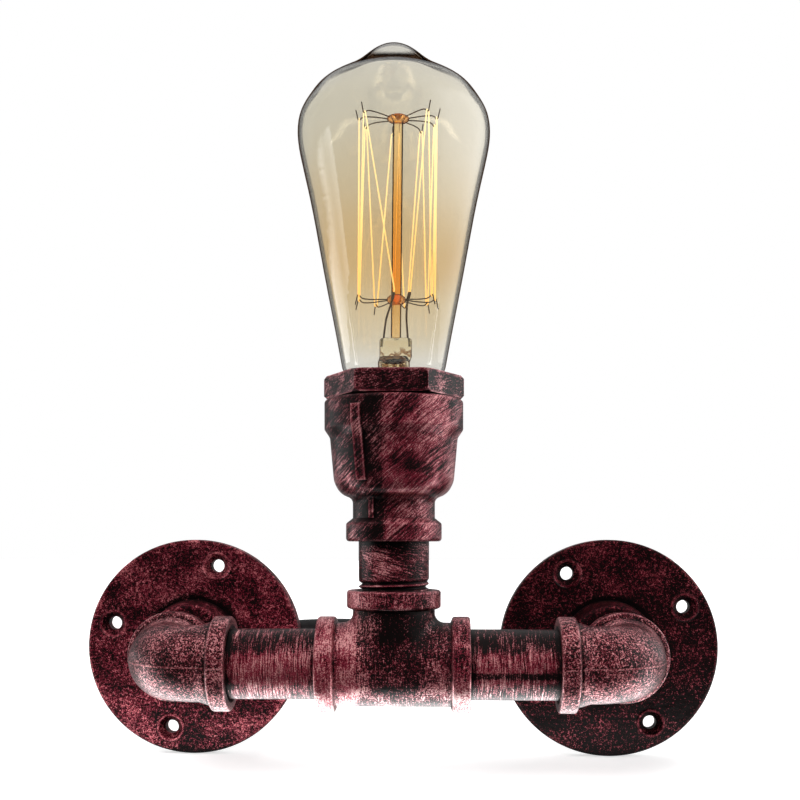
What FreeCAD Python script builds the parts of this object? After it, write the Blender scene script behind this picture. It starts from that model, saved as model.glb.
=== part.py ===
import FreeCAD, Part
import math
import os
from FreeCAD import Placement, Rotation, Vector

# Wall light made of threaded iron pipe fittings, with one clear filament bulb standing on a tee.
# Millimetres. The wall is the plane Y = 0, the light stands off it towards -Y, and +Z is up.
# The origin is on the wall, midway between the two flanges, at the height of the pipe run.

# Pipe and its threads, half inch size
pipe_od = 21.3
pipe_bore = 16.1
thread_pitch = 1.814
thread_depth = 1.0
thread_engaged = 11.2
thread_sunk = 0.05
thread_lap = 0.4
screwed_clearance = 0.04

# Pipe run in front of the wall
pipe_axis_out = 55.0
flange_half_spacing = 72.4

# Wall flanges
flange_od = 75.0
flange_plate = 6.0
flange_edge_round = 1.2
flange_hub_top_od = 30.6
flange_hub_base_od = 33.0
flange_hub_height = 16.3
flange_hub_round = 1.4
flange_hub_groove_depth = 0.5
flange_hub_groove_width = 1.6
flange_hub_groove_floor = 0.3
flange_pcd = 59.0
flange_hole_count = 4
flange_hole_first_angle = 29.0
left_flange_turn = 45.0
flange_hole_d = 4.6
flange_countersink_d = 8.4
flange_countersink_depth = 2.2
flange_lip_d = 10.4
flange_lip_height = 0.5
flange_lip_sunk = 0.5
flange_lip_land = 0.4

# Cast elbows and tee
fitting_wall = 3.3
collar_od = 28.9
collar_proud = 1.8
collar_width = 5.2
collar_step = 0.7
collar_round = 0.8
mouth_d = 23.6
mouth_depth = 1.3
elbow_reach = 23.1
elbow_bend = 13.5
elbow_bend_od = 23.4
tee_run_reach = 23.0
tee_branch_reach = 22.5
leg_taper = 3.0
tee_branch_thinner = 0.25
tee_fillet = 3.0
parting_proud = 0.18
parting_width = 0.5

# Riser between the tee and the reducing socket
riser_exposed = 14.7
riser_engaged_top = 9.5
riser_thread_turns = 2

# Reducing socket, half inch below and one inch above
socket_length = 42.5
socket_small_collar = 5.4
socket_neck_od = 24.8
socket_neck_top = 12.8
socket_neck_taper = 1.6
socket_bowl_low_od = 36.2
socket_bowl_high_od = 38.6
socket_bowl_bottom = 14.4
socket_bowl_toe = 1.8
socket_bowl_toe_height = 3.6
socket_bowl_taper = 2.4
socket_large_od = 41.9
socket_large_collar = 8.9
socket_floor = 15.3
socket_cavity_d = 30.7
socket_neck_bore = 18.6
socket_corner_round = 5.5
socket_fillet = 2.0
socket_edge_round = 1.0
large_thread_od = 33.2
large_thread_depth = 6.8
rib_angle = 241.5
rib_width = 3.1
rib_proud = 0.8
rib_top_below_rim = 2.9
rib_toe_lap = 0.2
rib_foot_proud = 0.5
rib_bowl_proud = 1.4
neck_rib_width = 1.6
neck_rib_proud = 0.7
neck_rib_flare = 1.8

# Hexagon bushing that closes the socket and holds the lampholder down
hex_inset = 5.2
hex_height = 6.7
hex_gap = 0.6
hex_chamfer = 0.8
hex_chamfer_in = 0.9
bushing_spigot = 6.4
bushing_bore = 28.4
bushing_mouth_d = 32.8
bushing_mouth_depth = 4.4

# Lampholder
holder_od = 30.2
holder_floor = 3.9
holder_wall = 1.35
holder_boss_d = 17.8
holder_boss_length = 5.7
holder_base_chamfer = 1.8
gasket_thickness = 0.5
earth_ring_thickness = 0.8
earth_ring_od = 26.4
earth_tab_width = 2.4
earth_ring_inset = 0.2
shell_sheet = 0.35
shell_collar = 1.0
shell_top_clearance = 0.2
plunger_head_d = 7.0
plunger_head_height = 1.6
plunger_edge = 0.6
plunger_stand = 0.3
plunger_stem_d = 3.0
plunger_stem_length = 7.5
plunger_travel = 1.0
plunger_guide_clearance = 0.06
plunger_recess_clearance = 0.3
spring_wire = 0.5
spring_mean_d = 4.0
spring_turns = 4
spring_end_gap = 0.03
spring_bore_clearance = 0.35
terminal_plate = 0.8
terminal_plate_height = 2.2
terminal_inset = 0.3
terminal_cover = 0.4
terminal_block_width = 2.8
terminal_block_height = 4.5
terminal_block_x = 6.0
pocket_clearance = 0.1
strap_thickness = 0.4
strap_width = 2.3

# Edison screw, 27 size
screw_pitch = 3.629
screw_major_d = 26.2
screw_minor_d = 24.3
screw_clearance = 0.12
screw_fade = 1.3
cap_sheet = 0.35
cap_length = 26.0
cap_skirt_d = 26.4
cap_thread_low = 5.3
cap_thread_high = 21.6
cap_lip_inset = 0.1
contact_gap = 0.05
tip_d = 6.8
tip_height = 1.1
tip_stem_d = 2.1
tip_rivet = 0.3
tip_clearance = 0.03
insulator_neck_r = 10.7
insulator_height = 4.2
insulator_wall = 1.5
insulator_land = 0.5
insulator_lip = 0.8
insulator_foot_land = 0.5

# Bulb glass, its crown as radius and depth below the top, its flank as depth in from the widest
glass_wall = 0.9
glass_neck_d = 25.4
glass_neck_depth = 2.0
glass_neck_straight = 0.3
glass_shoulder_height = 6.4
glass_shoulder_in = 13.3
glass_shoulder_pull = 0.42
bulb_height = 103.8
bulb_radius = 29.0
glass_crown = (
    (0.0, 0.0),
    (1.5, 0.15),
    (4.0, 0.95),
    (7.0, 2.75),
    (10.0, 5.35),
    (15.0, 9.2),
    (20.0, 12.3),
)
glass_flank = (
    (5.8, 14.6),
    (3.0, 18.2),
    (0.9, 21.9),
    (0.0, 27.6),
    (1.1, 35.2),
    (3.5, 45.9),
    (7.6, 67.5),
    (11.8, 89.3),
)
stem_flare_height = 7.5
stem_flare_knee = 1.5
stem_flare_bend = 2.5
stem_shoulder = 1.5
stem_neck_d = 9.6
press_height = 15.0
press_width = 9.8
press_thickness = 4.6
press_length = 5.6
press_edge_round = 0.8
mount_lean = 0.6
mount_offset = 0.55
rod_d = 3.1
rod_short = 0.3
rod_sunk = 0.4
lower_bead_height = 26.7
lower_bead_d = 5.8
lower_bead_thickness = 3.4
upper_bead_height = 81.4
upper_bead_d = 6.8
upper_bead_thickness = 2.3
support_wire_d = 0.36
support_reach = 12.8
support_tip = 2.4
support_dip = 1.1
support_sunk = 0.7
support_rise = 0.5
support_rise_in = 4.9
support_crest = 0.4
support_crest_in = 2.0
support_seat_in = 0.8
filament_d = 0.4
filament_turn_width = 0.9
filament_straight = 0.7
lead_wire_d = 0.6
lead_crimp_d = 1.0
lead_crimp_length = 2.2
left_lead_foot = ((-3.85, 0.0, -2.5), (-3.6, 0.0, 1.5), (-2.9, -1.6, 6.0))
left_lead_end = ((-1.5, -3.6, -2.4), (-0.6, -3.8, 1.5))
right_lead_foot = ((3.75, 0.0, -2.5), (3.5, -0.2, 1.5), (3.1, -1.2, 6.0))
right_lead_end = ((3.4, -3.1, -1.4), (4.2, -3.6, 1.6))
upper_hook_angles = (214, 184, 150, 100, 55, 22, -8, -40)

# Supply cable
cable_d = 6.0
core_d = 2.1
conductor_d = 1.2
entry_clearance = 0.1
core_clearance = 0.2
core_stripped = 1.2
core_straight = 2.4
core_below_boss = 2.2
grip_depth = 3.1
core_ring = 1.25
earth_core_y = 6.6
cable_sheath_top = 38.0
tail_core_straight = 3.25
tail_core_bend = 9.1
tail_core_bend_spread = 2.08
tail_core_bend_droop = 0.8
tail_core_length = 13.0
tail_core_spread = 2.6
tail_core_droop = 2.4
tail_ferrule_length = 5.0
tail_route = (
    (0, 0, 0),
    (0, 14, 0),
    (8.4, 25, 1.8),
    (25, 29.5, 3.4),
    (43, 30, 4.4),
    (59, 29, 4.2),
    (71, 29.5, 3.0),
)

# Fineness of the waved threads and of the coil
rows_per_pitch = 10
columns_per_turn = 36
arcs_per_turn = 4

# How nearly an edge has to lie where it is looked for
edge_level = 0.01

# Share of the shorter run that the bend of a wire's route takes
route_ease = 0.45
filament_ease = 0.42

# How far a cutting tool runs past what it cuts
overrun = 1.0

# Sizes that follow from the ones above
run_y = -pipe_axis_out
collar_r = collar_od / 2
fitting_body_r = collar_r - collar_proud
passage_r = fitting_body_r - fitting_wall
socket_bore_r = pipe_od / 2 + screwed_clearance
socket_bottom = tee_branch_reach + riser_exposed
socket_top = socket_bottom + socket_length
hex_across_flats = socket_large_od - hex_inset
socket_floor_z = socket_bottom + socket_floor
hex_bottom = socket_top + hex_gap
hex_top = hex_bottom + hex_height
spigot_bottom = hex_bottom - bushing_spigot
holder_base = socket_floor_z + earth_ring_thickness
holder_rim = spigot_bottom - gasket_thickness
holder_cavity_floor = holder_base + holder_floor
plunger_top = holder_cavity_floor + plunger_stand
cap_tip = plunger_top + contact_gap
boss_low = holder_base - holder_boss_length
grip_low = boss_low + terminal_inset
grip_top = grip_low + terminal_block_height
plate_top = boss_low + terminal_plate_height
shell_low = holder_cavity_floor + strap_thickness
shell_high = holder_rim - shell_top_clearance
plunger_head_low = plunger_top - plunger_head_height
cap_rim = cap_tip + cap_length
neck_low = cap_rim - glass_neck_depth
press_top = cap_rim + press_height
press_bottom = press_top - press_length
upper_bead_z = cap_rim + upper_bead_height
lower_bead_z = cap_rim + lower_bead_height
screw_mean_r = (screw_major_d + screw_minor_d) / 4
screw_wave = (screw_major_d - screw_minor_d) / 4
X_AXIS = Vector(1, 0, 0)
Y_AXIS = Vector(0, 1, 0)
Z_AXIS = Vector(0, 0, 1)


def save(name, shape):
    """Writes one node and prints what it holds."""
    for solid in shape.Solids:
        if not solid.isValid() or solid.Volume <= 0:
            print("CHECK", name, "has a solid that is not valid")
    shape.exportStep("parts/" + name + ".step")
    print(name, "solids", len(shape.Solids), "volume", round(shape.Volume, 2))


def along(shape, base, direction):
    """Stands a shape that was built on +Z at a base point, pointing along a direction."""
    moved = shape.copy()
    moved.Placement = Placement(base, Rotation(Z_AXIS, direction))
    return moved


def turned(outline):
    """Turns an outline of (radius, height) points about the Z axis into a solid."""
    points = [Vector(radius, 0, height) for radius, height in outline]
    face = Part.Face(Part.makePolygon(points + [points[0]]))
    return face.revolve(Vector(0, 0, 0), Z_AXIS, 360)


def rod(diameter, low, high, x=0.0, y=0.0):
    """Makes an upright round bar between two heights."""
    return Part.makeCylinder(diameter / 2, high - low, Vector(x, y, low))


def pipe_piece(outer_d, bore_d, length):
    """Makes a plain tube on +Z from zero."""
    return rod(outer_d, 0, length).cut(rod(bore_d, -overrun, length + overrun))


def block(x_low, x_high, half_width, low, high):
    """Makes a box that is centred on the XZ plane."""
    size = (x_high - x_low, 2 * half_width, high - low)
    return Part.makeBox(*size, Vector(x_low, -half_width, low))


def ease_rings(shape, radius, rings):
    """Rounds the circular edges about Z that lie at the given (radius, height) places."""
    chosen = []
    for edge in shape.Edges:
        if not isinstance(edge.Curve, Part.Circle):
            continue
        centre = edge.Curve.Center
        if abs(centre.x) > edge_level or abs(centre.y) > edge_level:
            continue
        for ring_radius, height in rings:
            misfit = max(abs(edge.Curve.Radius - ring_radius), abs(centre.z - height))
            if misfit < edge_level:
                chosen.append(edge)
    return shape.makeFillet(radius, chosen)


def corner_arc(before, corner, after, share=route_ease):
    """Gives the start, middle, end, centre and radius of the arc that rounds one corner."""
    back = before - corner
    ahead = after - corner
    tangent = share * min(back.Length, ahead.Length)
    back.normalize()
    ahead.normalize()
    half_turn = (math.pi - back.getAngle(ahead)) / 2
    radius = tangent / math.tan(half_turn)
    inward = (back + ahead).normalize()
    centre = corner + inward * (radius / math.cos(half_turn))
    middle = centre - inward * radius
    return corner + back * tangent, middle, corner + ahead * tangent, centre, radius


def rounded_route(points, share=route_ease):
    """Joins straight runs with tangent arcs, each as large as its shorter run allows."""
    edges = []
    radii = []
    start = points[0]
    for before, corner, after in zip(points, points[1:], points[2:]):
        arc_start, middle, arc_end, _, radius = corner_arc(before, corner, after, share)
        edges.append(Part.LineSegment(start, arc_start).toShape())
        edges.append(Part.Arc(arc_start, middle, arc_end).toShape())
        radii.append(round(radius, 1))
        start = arc_end
    edges.append(Part.LineSegment(start, points[-1]).toShape())
    return Part.Wire(edges), radii


def tube_along(points, diameter, share=route_ease, name=""):
    """Sweeps a round section along a rounded route."""
    path, radii = rounded_route(points, share)
    direction = points[1] - points[0]
    section = Part.Wire(Part.makeCircle(diameter / 2, points[0], direction))
    tube = path.makePipeShell([section], True, False)
    if name:
        expected = math.pi * diameter ** 2 / 4 * path.Length
        print(name, "length", round(path.Length, 1), "radii", radii,
              "volume share", round(tube.Volume / expected, 4))
    return tube


def wave_face(radius_of, low, high, pitch):
    """Makes a closed wall about Z whose radius changes with angle and height."""
    rows = max(8, round((high - low) / pitch * rows_per_pitch))
    columns = columns_per_turn
    grid = []
    for row in range(rows + 1):
        height = low + (high - low) * row / rows
        ring = []
        for column in range(columns + 1):
            angle = 2 * math.pi * (column % columns) / columns
            radius = radius_of(angle, height)
            ring.append(Vector(radius * math.cos(angle), radius * math.sin(angle), height))
        grid.append(ring)
    surface = Part.BSplineSurface()
    surface.interpolate(grid)
    return surface.toShape()


def end_wire(face, height):
    """Finds the wire of a wall at one of its ends."""
    edges = []
    for edge in face.Edges:
        box = edge.BoundBox
        if max(abs(box.ZMin - height), abs(box.ZMax - height)) < edge_level:
            edges.append(edge)
    return Part.Wire(edges)


def closed_solid(faces):
    """Sews faces into one solid that points outwards."""
    shell = Part.makeShell(faces)
    shell.sewShape(1e-4)
    solid = Part.makeSolid(shell)
    if solid.Volume < 0:
        solid.reverse()
    return solid


def wave_sleeve(outer_of, inner_of, low, high):
    """Makes a sheet sleeve between two waved walls."""
    outer = wave_face(outer_of, low, high, screw_pitch)
    inner = wave_face(inner_of, low, high, screw_pitch)
    faces = [outer, inner]
    for height in (low, high):
        wires = [end_wire(outer, height), end_wire(inner, height)]
        faces.append(Part.makeFace(wires, "Part::FaceMakerBullseye"))
    return closed_solid(faces)


def wave_bar(radius_of, low, high):
    """Makes a solid round bar whose wall is waved."""
    wall = wave_face(radius_of, low, high, thread_pitch)
    ends = [Part.Face(end_wire(wall, low)), Part.Face(end_wire(wall, high))]
    return closed_solid([wall] + ends)


def smooth_step(value):
    """Rises smoothly from 0 to 1."""
    bounded = min(1.0, max(0.0, value))
    return bounded * bounded * (3 - 2 * bounded)


def make_flange():
    """Makes a round cast wall flange on +Z, with its back on Z = 0."""
    base_r = flange_hub_base_od / 2
    top_r = flange_hub_top_od / 2
    groove_r = base_r + flange_hub_groove_width
    groove_z = flange_plate - flange_hub_groove_depth
    outline = [
        (0, 0),
        (flange_od / 2, 0),
        (flange_od / 2, flange_plate),
        (groove_r, flange_plate),
        (base_r + flange_hub_groove_floor, groove_z),
        (base_r, groove_z),
        (top_r, flange_hub_height),
        (0, flange_hub_height),
    ]
    body = turned(outline)
    body = ease_rings(body, flange_edge_round, [(flange_od / 2, flange_plate)])
    body = ease_rings(body, flange_hub_round, [(top_r, flange_hub_height)])
    lips = []
    cutters = []
    for hole in range(flange_hole_count):
        angle = math.radians(flange_hole_first_angle + hole * 360 / flange_hole_count)
        x = flange_pcd / 2 * math.cos(angle)
        y = flange_pcd / 2 * math.sin(angle)
        lip_top = flange_plate + flange_lip_height
        lip = Part.makeCone(
            flange_lip_d / 2 + flange_lip_height, flange_countersink_d / 2 + flange_lip_land,
            flange_lip_height + flange_lip_sunk, Vector(x, y, flange_plate - flange_lip_sunk))
        lips.append(lip)
        cutters.append(rod(flange_hole_d, -overrun, lip_top + overrun, x, y))
        sink_depth = flange_countersink_depth + flange_lip_height
        cutters.append(Part.makeCone(
            flange_hole_d / 2, flange_countersink_d / 2,
            sink_depth, Vector(x, y, lip_top - sink_depth)))
    body = body.fuse(lips).removeSplitter()
    seat = flange_hub_height - thread_engaged
    cutters.append(rod(pipe_bore, -overrun, flange_hub_height))
    cutters.append(rod(2 * socket_bore_r, seat, flange_hub_height + overrun))
    return body.cut(cutters)


def leg_outline(reach, body_r, start_r, start, ease):
    """Lists the outside of one leg of a cast fitting, its collar standing past an ease."""
    collar_start = reach - collar_width
    return [
        (0, start),
        (start_r, start),
        (body_r, start + leg_taper),
        (body_r, collar_start - collar_step),
        (body_r + collar_proud, collar_start + ease),
        (body_r + collar_proud, reach - ease),
        (0, reach - ease),
    ]


def leg_outside(reach, body_r, start_r, start=0.0):
    """Makes the outside of one leg of a cast fitting with its rounded collar."""
    leg = turned(leg_outline(reach, body_r, start_r, start, 0))
    rim_r = body_r + collar_proud
    return ease_rings(leg, collar_round, [(rim_r, reach - collar_width), (rim_r, reach)])


def screwed_bore(reach):
    """Makes the screwed hollow of one leg with its bevelled mouth."""
    bore_start = reach - thread_engaged
    return turned([
        (0, bore_start),
        (socket_bore_r, bore_start),
        (socket_bore_r, reach - mouth_depth),
        (mouth_d / 2, reach),
        (0, reach),
    ])


def bend_ring(radius):
    """Makes a quarter bend of one radius between the +X leg and the +Y leg of an elbow."""
    centre = Vector(elbow_bend, elbow_bend, 0)
    ring = Part.makeTorus(elbow_bend, radius, centre, Z_AXIS, 0, 360, 90)
    ring.rotate(centre, Z_AXIS, 180)
    return ring


def make_elbow():
    """Makes a cast elbow at the origin, open towards +X and +Y."""
    origin = Vector(0, 0, 0)
    bend_r = elbow_bend_od / 2
    leg = leg_outside(elbow_reach, fitting_body_r, bend_r, elbow_bend)
    body = along(leg, origin, X_AXIS).fuse([along(leg, origin, Y_AXIS), bend_ring(bend_r)])
    proud_leg = turned(leg_outline(elbow_reach, fitting_body_r + parting_proud,
                                   bend_r + parting_proud, elbow_bend, collar_round))
    proud = along(proud_leg, origin, X_AXIS).fuse(bend_ring(bend_r + parting_proud))
    span = 2 * (elbow_reach + collar_od)
    slab = Part.makeBox(span, span, parting_width,
                        Vector(-span / 2, -span / 2, -parting_width / 2))
    body = body.fuse(proud.common(slab))
    bore = screwed_bore(elbow_reach)
    passage = rod(2 * passage_r, elbow_bend, elbow_reach)
    return body.cut([bend_ring(passage_r), along(bore, origin, X_AXIS),
                     along(bore, origin, Y_AXIS), along(passage, origin, X_AXIS),
                     along(passage, origin, Y_AXIS)])


def saddle_edges(body):
    """Finds the edges where the tee's branch meets its run."""
    found = []
    for edge in body.Edges:
        box = edge.BoundBox
        inside = max(-box.XMin, box.XMax) < fitting_body_r + overrun
        low = box.ZMin > -tee_branch_thinner and box.ZMax < fitting_body_r + overrun
        if inside and low and box.YLength > overrun and not isinstance(edge.Curve, Part.Circle):
            found.append(edge)
    return found


def make_tee():
    """Makes the cast tee at the origin, its run along X and its branch up."""
    origin = Vector(0, 0, 0)
    branch_r = fitting_body_r - tee_branch_thinner
    run = leg_outside(tee_run_reach, fitting_body_r, fitting_body_r)
    branch = leg_outside(tee_branch_reach, branch_r, branch_r)
    body = along(run, origin, X_AXIS).fuse([along(run, origin, -X_AXIS), branch])
    body = body.removeSplitter()
    body = body.makeFillet(tee_fillet, saddle_edges(body))
    bore = screwed_bore(tee_run_reach)
    passage = Part.makeCylinder(passage_r, 2 * (tee_run_reach - thread_engaged),
                                Vector(thread_engaged - tee_run_reach, 0, 0), X_AXIS)
    branch_passage = rod(2 * passage_r, 0, tee_branch_reach - thread_engaged)
    return body.cut([
        passage, branch_passage, along(bore, origin, X_AXIS), along(bore, origin, -X_AXIS),
        screwed_bore(tee_branch_reach)])


def make_riser():
    """Makes the riser nipple on +Z from the bottom of the tee's branch bore."""
    low = tee_branch_reach - thread_engaged
    high = socket_bottom + riser_engaged_top
    outer_r = pipe_od / 2
    root_r = outer_r - thread_depth
    thread_low = tee_branch_reach - mouth_depth
    thread_high = tee_branch_reach + riser_thread_turns * thread_pitch

    def thread_radius(angle, height):
        depth = smooth_step((thread_high - height) / thread_pitch)
        depth = depth * smooth_step((height - thread_low) / thread_pitch)
        wave = 0.5 + 0.5 * math.cos(2 * math.pi * height / thread_pitch - angle)
        return outer_r - thread_sunk - (outer_r - root_r) * depth * wave

    band = wave_bar(thread_radius, thread_low - thread_lap, thread_high + thread_lap)
    body = band.fuse([rod(pipe_od, low, thread_low), rod(pipe_od, thread_high, high)])
    return body.cut(rod(pipe_bore, low - overrun, high + overrun))


def make_reducing_socket():
    """Makes the bell shaped reducing socket with its casting ribs."""
    low = socket_bottom
    neck_r = socket_neck_od / 2
    large_r = socket_large_od / 2
    bowl_low_r = socket_bowl_low_od / 2
    bowl_high_r = socket_bowl_high_od / 2
    collar_low = socket_top - socket_large_collar
    bowl_top = collar_low - socket_bowl_taper
    toe_r = bowl_low_r - socket_bowl_toe
    toe_top = low + socket_bowl_bottom + socket_bowl_toe_height
    body = turned([
        (0, low),
        (collar_r, low),
        (collar_r, low + socket_small_collar),
        (neck_r, low + socket_small_collar + socket_neck_taper),
        (neck_r, low + socket_neck_top),
        (toe_r, low + socket_bowl_bottom),
        (bowl_low_r, toe_top),
        (bowl_high_r, bowl_top),
        (large_r, collar_low),
        (large_r, socket_top),
        (0, socket_top),
    ])
    body = ease_rings(body, socket_edge_round, [
        (large_r, socket_top),
        (large_r, collar_low),
        (collar_r, low),
        (collar_r, low + socket_small_collar),
    ])
    body = ease_rings(body, socket_fillet, [
        (neck_r, low + socket_neck_top),
        (bowl_high_r, bowl_top),
    ])
    body = ease_rings(body, socket_corner_round, [(toe_r, low + socket_bowl_bottom)])
    body = ease_rings(body, socket_corner_round, [(bowl_low_r, toe_top)])
    ribs = []
    rib_root_r = socket_cavity_d / 2 + overrun / 2
    rib_low = toe_top - rib_toe_lap
    rib_top = socket_top - rib_top_below_rim
    neck_rib_low = low + socket_small_collar + socket_neck_taper
    neck_rib_high = low + socket_neck_top + neck_rib_flare
    for side in (0, 180):
        rib = extruded_plate([
            (rib_root_r, rib_low),
            (bowl_low_r + rib_foot_proud, rib_low),
            (bowl_high_r + rib_bowl_proud, bowl_top),
            (large_r + rib_proud, collar_low + socket_edge_round),
            (large_r + rib_proud, rib_top),
            (rib_root_r, rib_top),
        ], rib_width)
        neck_rib = extruded_plate([
            (neck_r - overrun, neck_rib_low - neck_rib_proud),
            (neck_r + neck_rib_proud, neck_rib_low),
            (neck_r + neck_rib_proud, neck_rib_high - neck_rib_flare),
            (neck_r + neck_rib_flare, neck_rib_high),
            (neck_r - overrun, neck_rib_high),
        ], neck_rib_width)
        for piece in (rib, neck_rib):
            piece.rotate(Vector(0, 0, 0), Z_AXIS, rib_angle + side)
            ribs.append(piece)
    body = body.fuse(ribs).removeSplitter()
    thread_r = large_thread_od / 2 + screwed_clearance
    cavity_r = socket_cavity_d / 2
    neck_bore_r = socket_neck_bore / 2
    thread_low = socket_top - large_thread_depth
    hollow = turned([
        (0, low),
        (mouth_d / 2, low),
        (socket_bore_r, low + mouth_depth),
        (socket_bore_r, low + riser_engaged_top),
        (neck_bore_r, low + riser_engaged_top),
        (neck_bore_r, socket_floor_z),
        (cavity_r - holder_base_chamfer, socket_floor_z),
        (cavity_r, socket_floor_z + holder_base_chamfer),
        (cavity_r, thread_low - (thread_r - cavity_r)),
        (thread_r, thread_low),
        (thread_r, socket_top),
        (0, socket_top),
    ])
    return body.cut(hollow)


def extruded_plate(outline, width):
    """Extrudes an outline of (x, z) points evenly to both sides of the XZ plane."""
    points = [Vector(x, -width / 2, z) for x, z in outline]
    face = Part.Face(Part.makePolygon(points + [points[0]]))
    return face.extrude(Vector(0, width, 0))


def make_hex_bushing():
    """Makes the hexagon bushing with its screwed spigot and wide mouth."""
    corner_r = hex_across_flats / math.sqrt(3)
    corners = []
    for corner in range(6):
        angle = math.radians(60 * corner)
        corners.append(Vector(corner_r * math.cos(angle), corner_r * math.sin(angle), hex_bottom))
    face = Part.Face(Part.makePolygon(corners + [corners[0]]))
    head = face.extrude(Vector(0, 0, hex_height))
    trim = turned([
        (0, hex_bottom),
        (corner_r - hex_chamfer_in, hex_bottom),
        (corner_r, hex_bottom + hex_chamfer),
        (corner_r, hex_top - hex_chamfer),
        (corner_r - hex_chamfer_in, hex_top),
        (0, hex_top),
    ])
    head = head.common(trim)
    body = head.fuse(rod(large_thread_od, spigot_bottom, hex_bottom + overrun))
    mouth_low = hex_top - bushing_mouth_depth
    step = (bushing_mouth_d - bushing_bore) / 2
    hollow = turned([
        (0, spigot_bottom),
        (bushing_bore / 2, spigot_bottom),
        (bushing_bore / 2, mouth_low - step),
        (bushing_mouth_d / 2, mouth_low),
        (bushing_mouth_d / 2, hex_top),
        (0, hex_top),
    ])
    return body.cut(hollow)


def make_holder_body():
    """Makes the ceramic cup of the lampholder, with its boss and terminal pockets."""
    outer_r = holder_od / 2
    boss_r = holder_boss_d / 2
    body = turned([
        (0, boss_low),
        (boss_r, boss_low),
        (boss_r, holder_base),
        (outer_r - holder_base_chamfer, holder_base),
        (outer_r, holder_base + holder_base_chamfer),
        (outer_r, holder_rim),
        (outer_r - holder_wall, holder_rim),
        (outer_r - holder_wall, holder_cavity_floor),
        (0, holder_cavity_floor),
    ])
    head_r = plunger_head_d / 2 + plunger_recess_clearance
    bore_r = spring_mean_d / 2 + spring_wire / 2 + spring_bore_clearance
    recess_low = plunger_head_low - plunger_travel - plunger_recess_clearance
    half = terminal_block_width / 2 + pocket_clearance
    block_low = terminal_block_x - half
    block_high = terminal_block_x + half
    pocket_top = grip_top + pocket_clearance
    mouth = boss_low - overrun
    cavity = holder_cavity_floor + overrun
    strap_half = strap_thickness / 2 + pocket_clearance
    cutters = [
        rod(2 * head_r, recess_low, cavity),
        rod(2 * bore_r, mouth, recess_low + overrun),
        block(0, block_high, half, mouth, pocket_top),
        block(-block_high, -block_low, half, mouth, pocket_top),
        block(-terminal_block_x - strap_half, -terminal_block_x + strap_half,
              strap_width / 2 + pocket_clearance, pocket_top - overrun, cavity),
    ]
    slot_in = earth_core_y - core_d / 2 - core_clearance
    slot = block(slot_in, boss_r + overrun, core_d / 2 + core_clearance, mouth, holder_base)
    slot.rotate(Vector(0, 0, 0), Z_AXIS, 90)
    cutters.append(slot)
    return body.cut(cutters)


def shell_radius(angle, height, offset):
    """Gives the inner wall of the lampholder's screw shell, moved outwards by an offset."""
    rise = smooth_step((height - shell_low - shell_collar) / screw_fade)
    flare = smooth_step((shell_high - height) / screw_fade)
    wave = math.cos(2 * math.pi * (height - cap_tip) / screw_pitch - angle)
    plain = screw_mean_r + screw_wave
    waved = screw_mean_r + screw_wave * wave
    return plain + (waved - plain) * rise * flare + screw_clearance + offset


def make_screw_shell():
    """Makes the rolled brass screw shell of the lampholder."""
    return wave_sleeve(
        lambda angle, height: shell_radius(angle, height, shell_sheet),
        lambda angle, height: shell_radius(angle, height, 0.0),
        shell_low, shell_high)


def cap_radius(angle, height, offset):
    """Gives the outer wall of the bulb cap, moved inwards by an offset."""
    thread_low = cap_tip + cap_thread_low
    thread_high = cap_tip + cap_thread_high
    rise = smooth_step((height - thread_low) / screw_fade)
    fall = smooth_step((height - thread_high) / screw_fade)
    wave = math.cos(2 * math.pi * (height - cap_tip) / screw_pitch - angle)
    low_r = screw_minor_d / 2
    waved = screw_mean_r + screw_wave * wave
    radius = low_r + (waved - low_r) * rise
    radius = radius + (cap_skirt_d / 2 - radius) * fall
    return radius - offset


def make_bulb_cap():
    """Makes the rolled screw cap of the bulb, its lower edge turned in over the insulator."""
    low = cap_tip + insulator_height
    wall = wave_sleeve(
        lambda angle, height: cap_radius(angle, height, 0.0),
        lambda angle, height: cap_radius(angle, height, cap_sheet),
        low, cap_rim)
    rim_r = screw_minor_d / 2 - cap_lip_inset
    lip = turned([
        (insulator_neck_r, low - cap_sheet),
        (rim_r - cap_sheet, low - cap_sheet),
        (rim_r, low),
        (rim_r, low + cap_lip_inset),
        (insulator_neck_r, low + cap_lip_inset),
    ])
    return wall.fuse(lip)


def make_cap_insulator():
    """Makes the black glass insulator between the cap and the tip contact."""
    base = cap_tip + tip_height
    top = cap_tip + insulator_height - cap_sheet
    hole_r = tip_stem_d / 2 + tip_clearance
    foot_r = tip_d / 2 + insulator_foot_land
    return turned([
        (hole_r, base + tip_clearance),
        (foot_r, base + tip_clearance),
        (insulator_neck_r - insulator_land, top),
        (insulator_neck_r, top),
        (insulator_neck_r, top + cap_sheet + insulator_lip),
        (insulator_neck_r - insulator_wall, top + cap_sheet + insulator_lip),
        (foot_r, base + insulator_wall),
        (hole_r, base + insulator_wall),
    ])


def make_tip_contact():
    """Makes the domed tip contact with its short stem."""
    dome_r = tip_d / 2
    low = Vector(0, 0, cap_tip)
    side = Vector(dome_r, 0, cap_tip + tip_height)
    ball_r = (dome_r ** 2 + tip_height ** 2) / (2 * tip_height)
    half_angle = math.asin(dome_r / ball_r) / 2
    bulge = Vector(ball_r * math.sin(half_angle), 0,
                   cap_tip + ball_r * (1 - math.cos(half_angle)))
    arc = Part.Arc(low, bulge, side).toShape()
    stem_r = tip_stem_d / 2
    stem_top = cap_tip + tip_height + insulator_wall + tip_rivet
    corners = [
        side,
        Vector(stem_r, 0, cap_tip + tip_height),
        Vector(stem_r, 0, stem_top),
        Vector(0, 0, stem_top),
        low,
    ]
    edges = [arc]
    for first, second in zip(corners, corners[1:]):
        edges.append(Part.LineSegment(first, second).toShape())
    return Part.Face(Part.Wire(edges)).revolve(Vector(0, 0, 0), Z_AXIS, 360)


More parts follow.
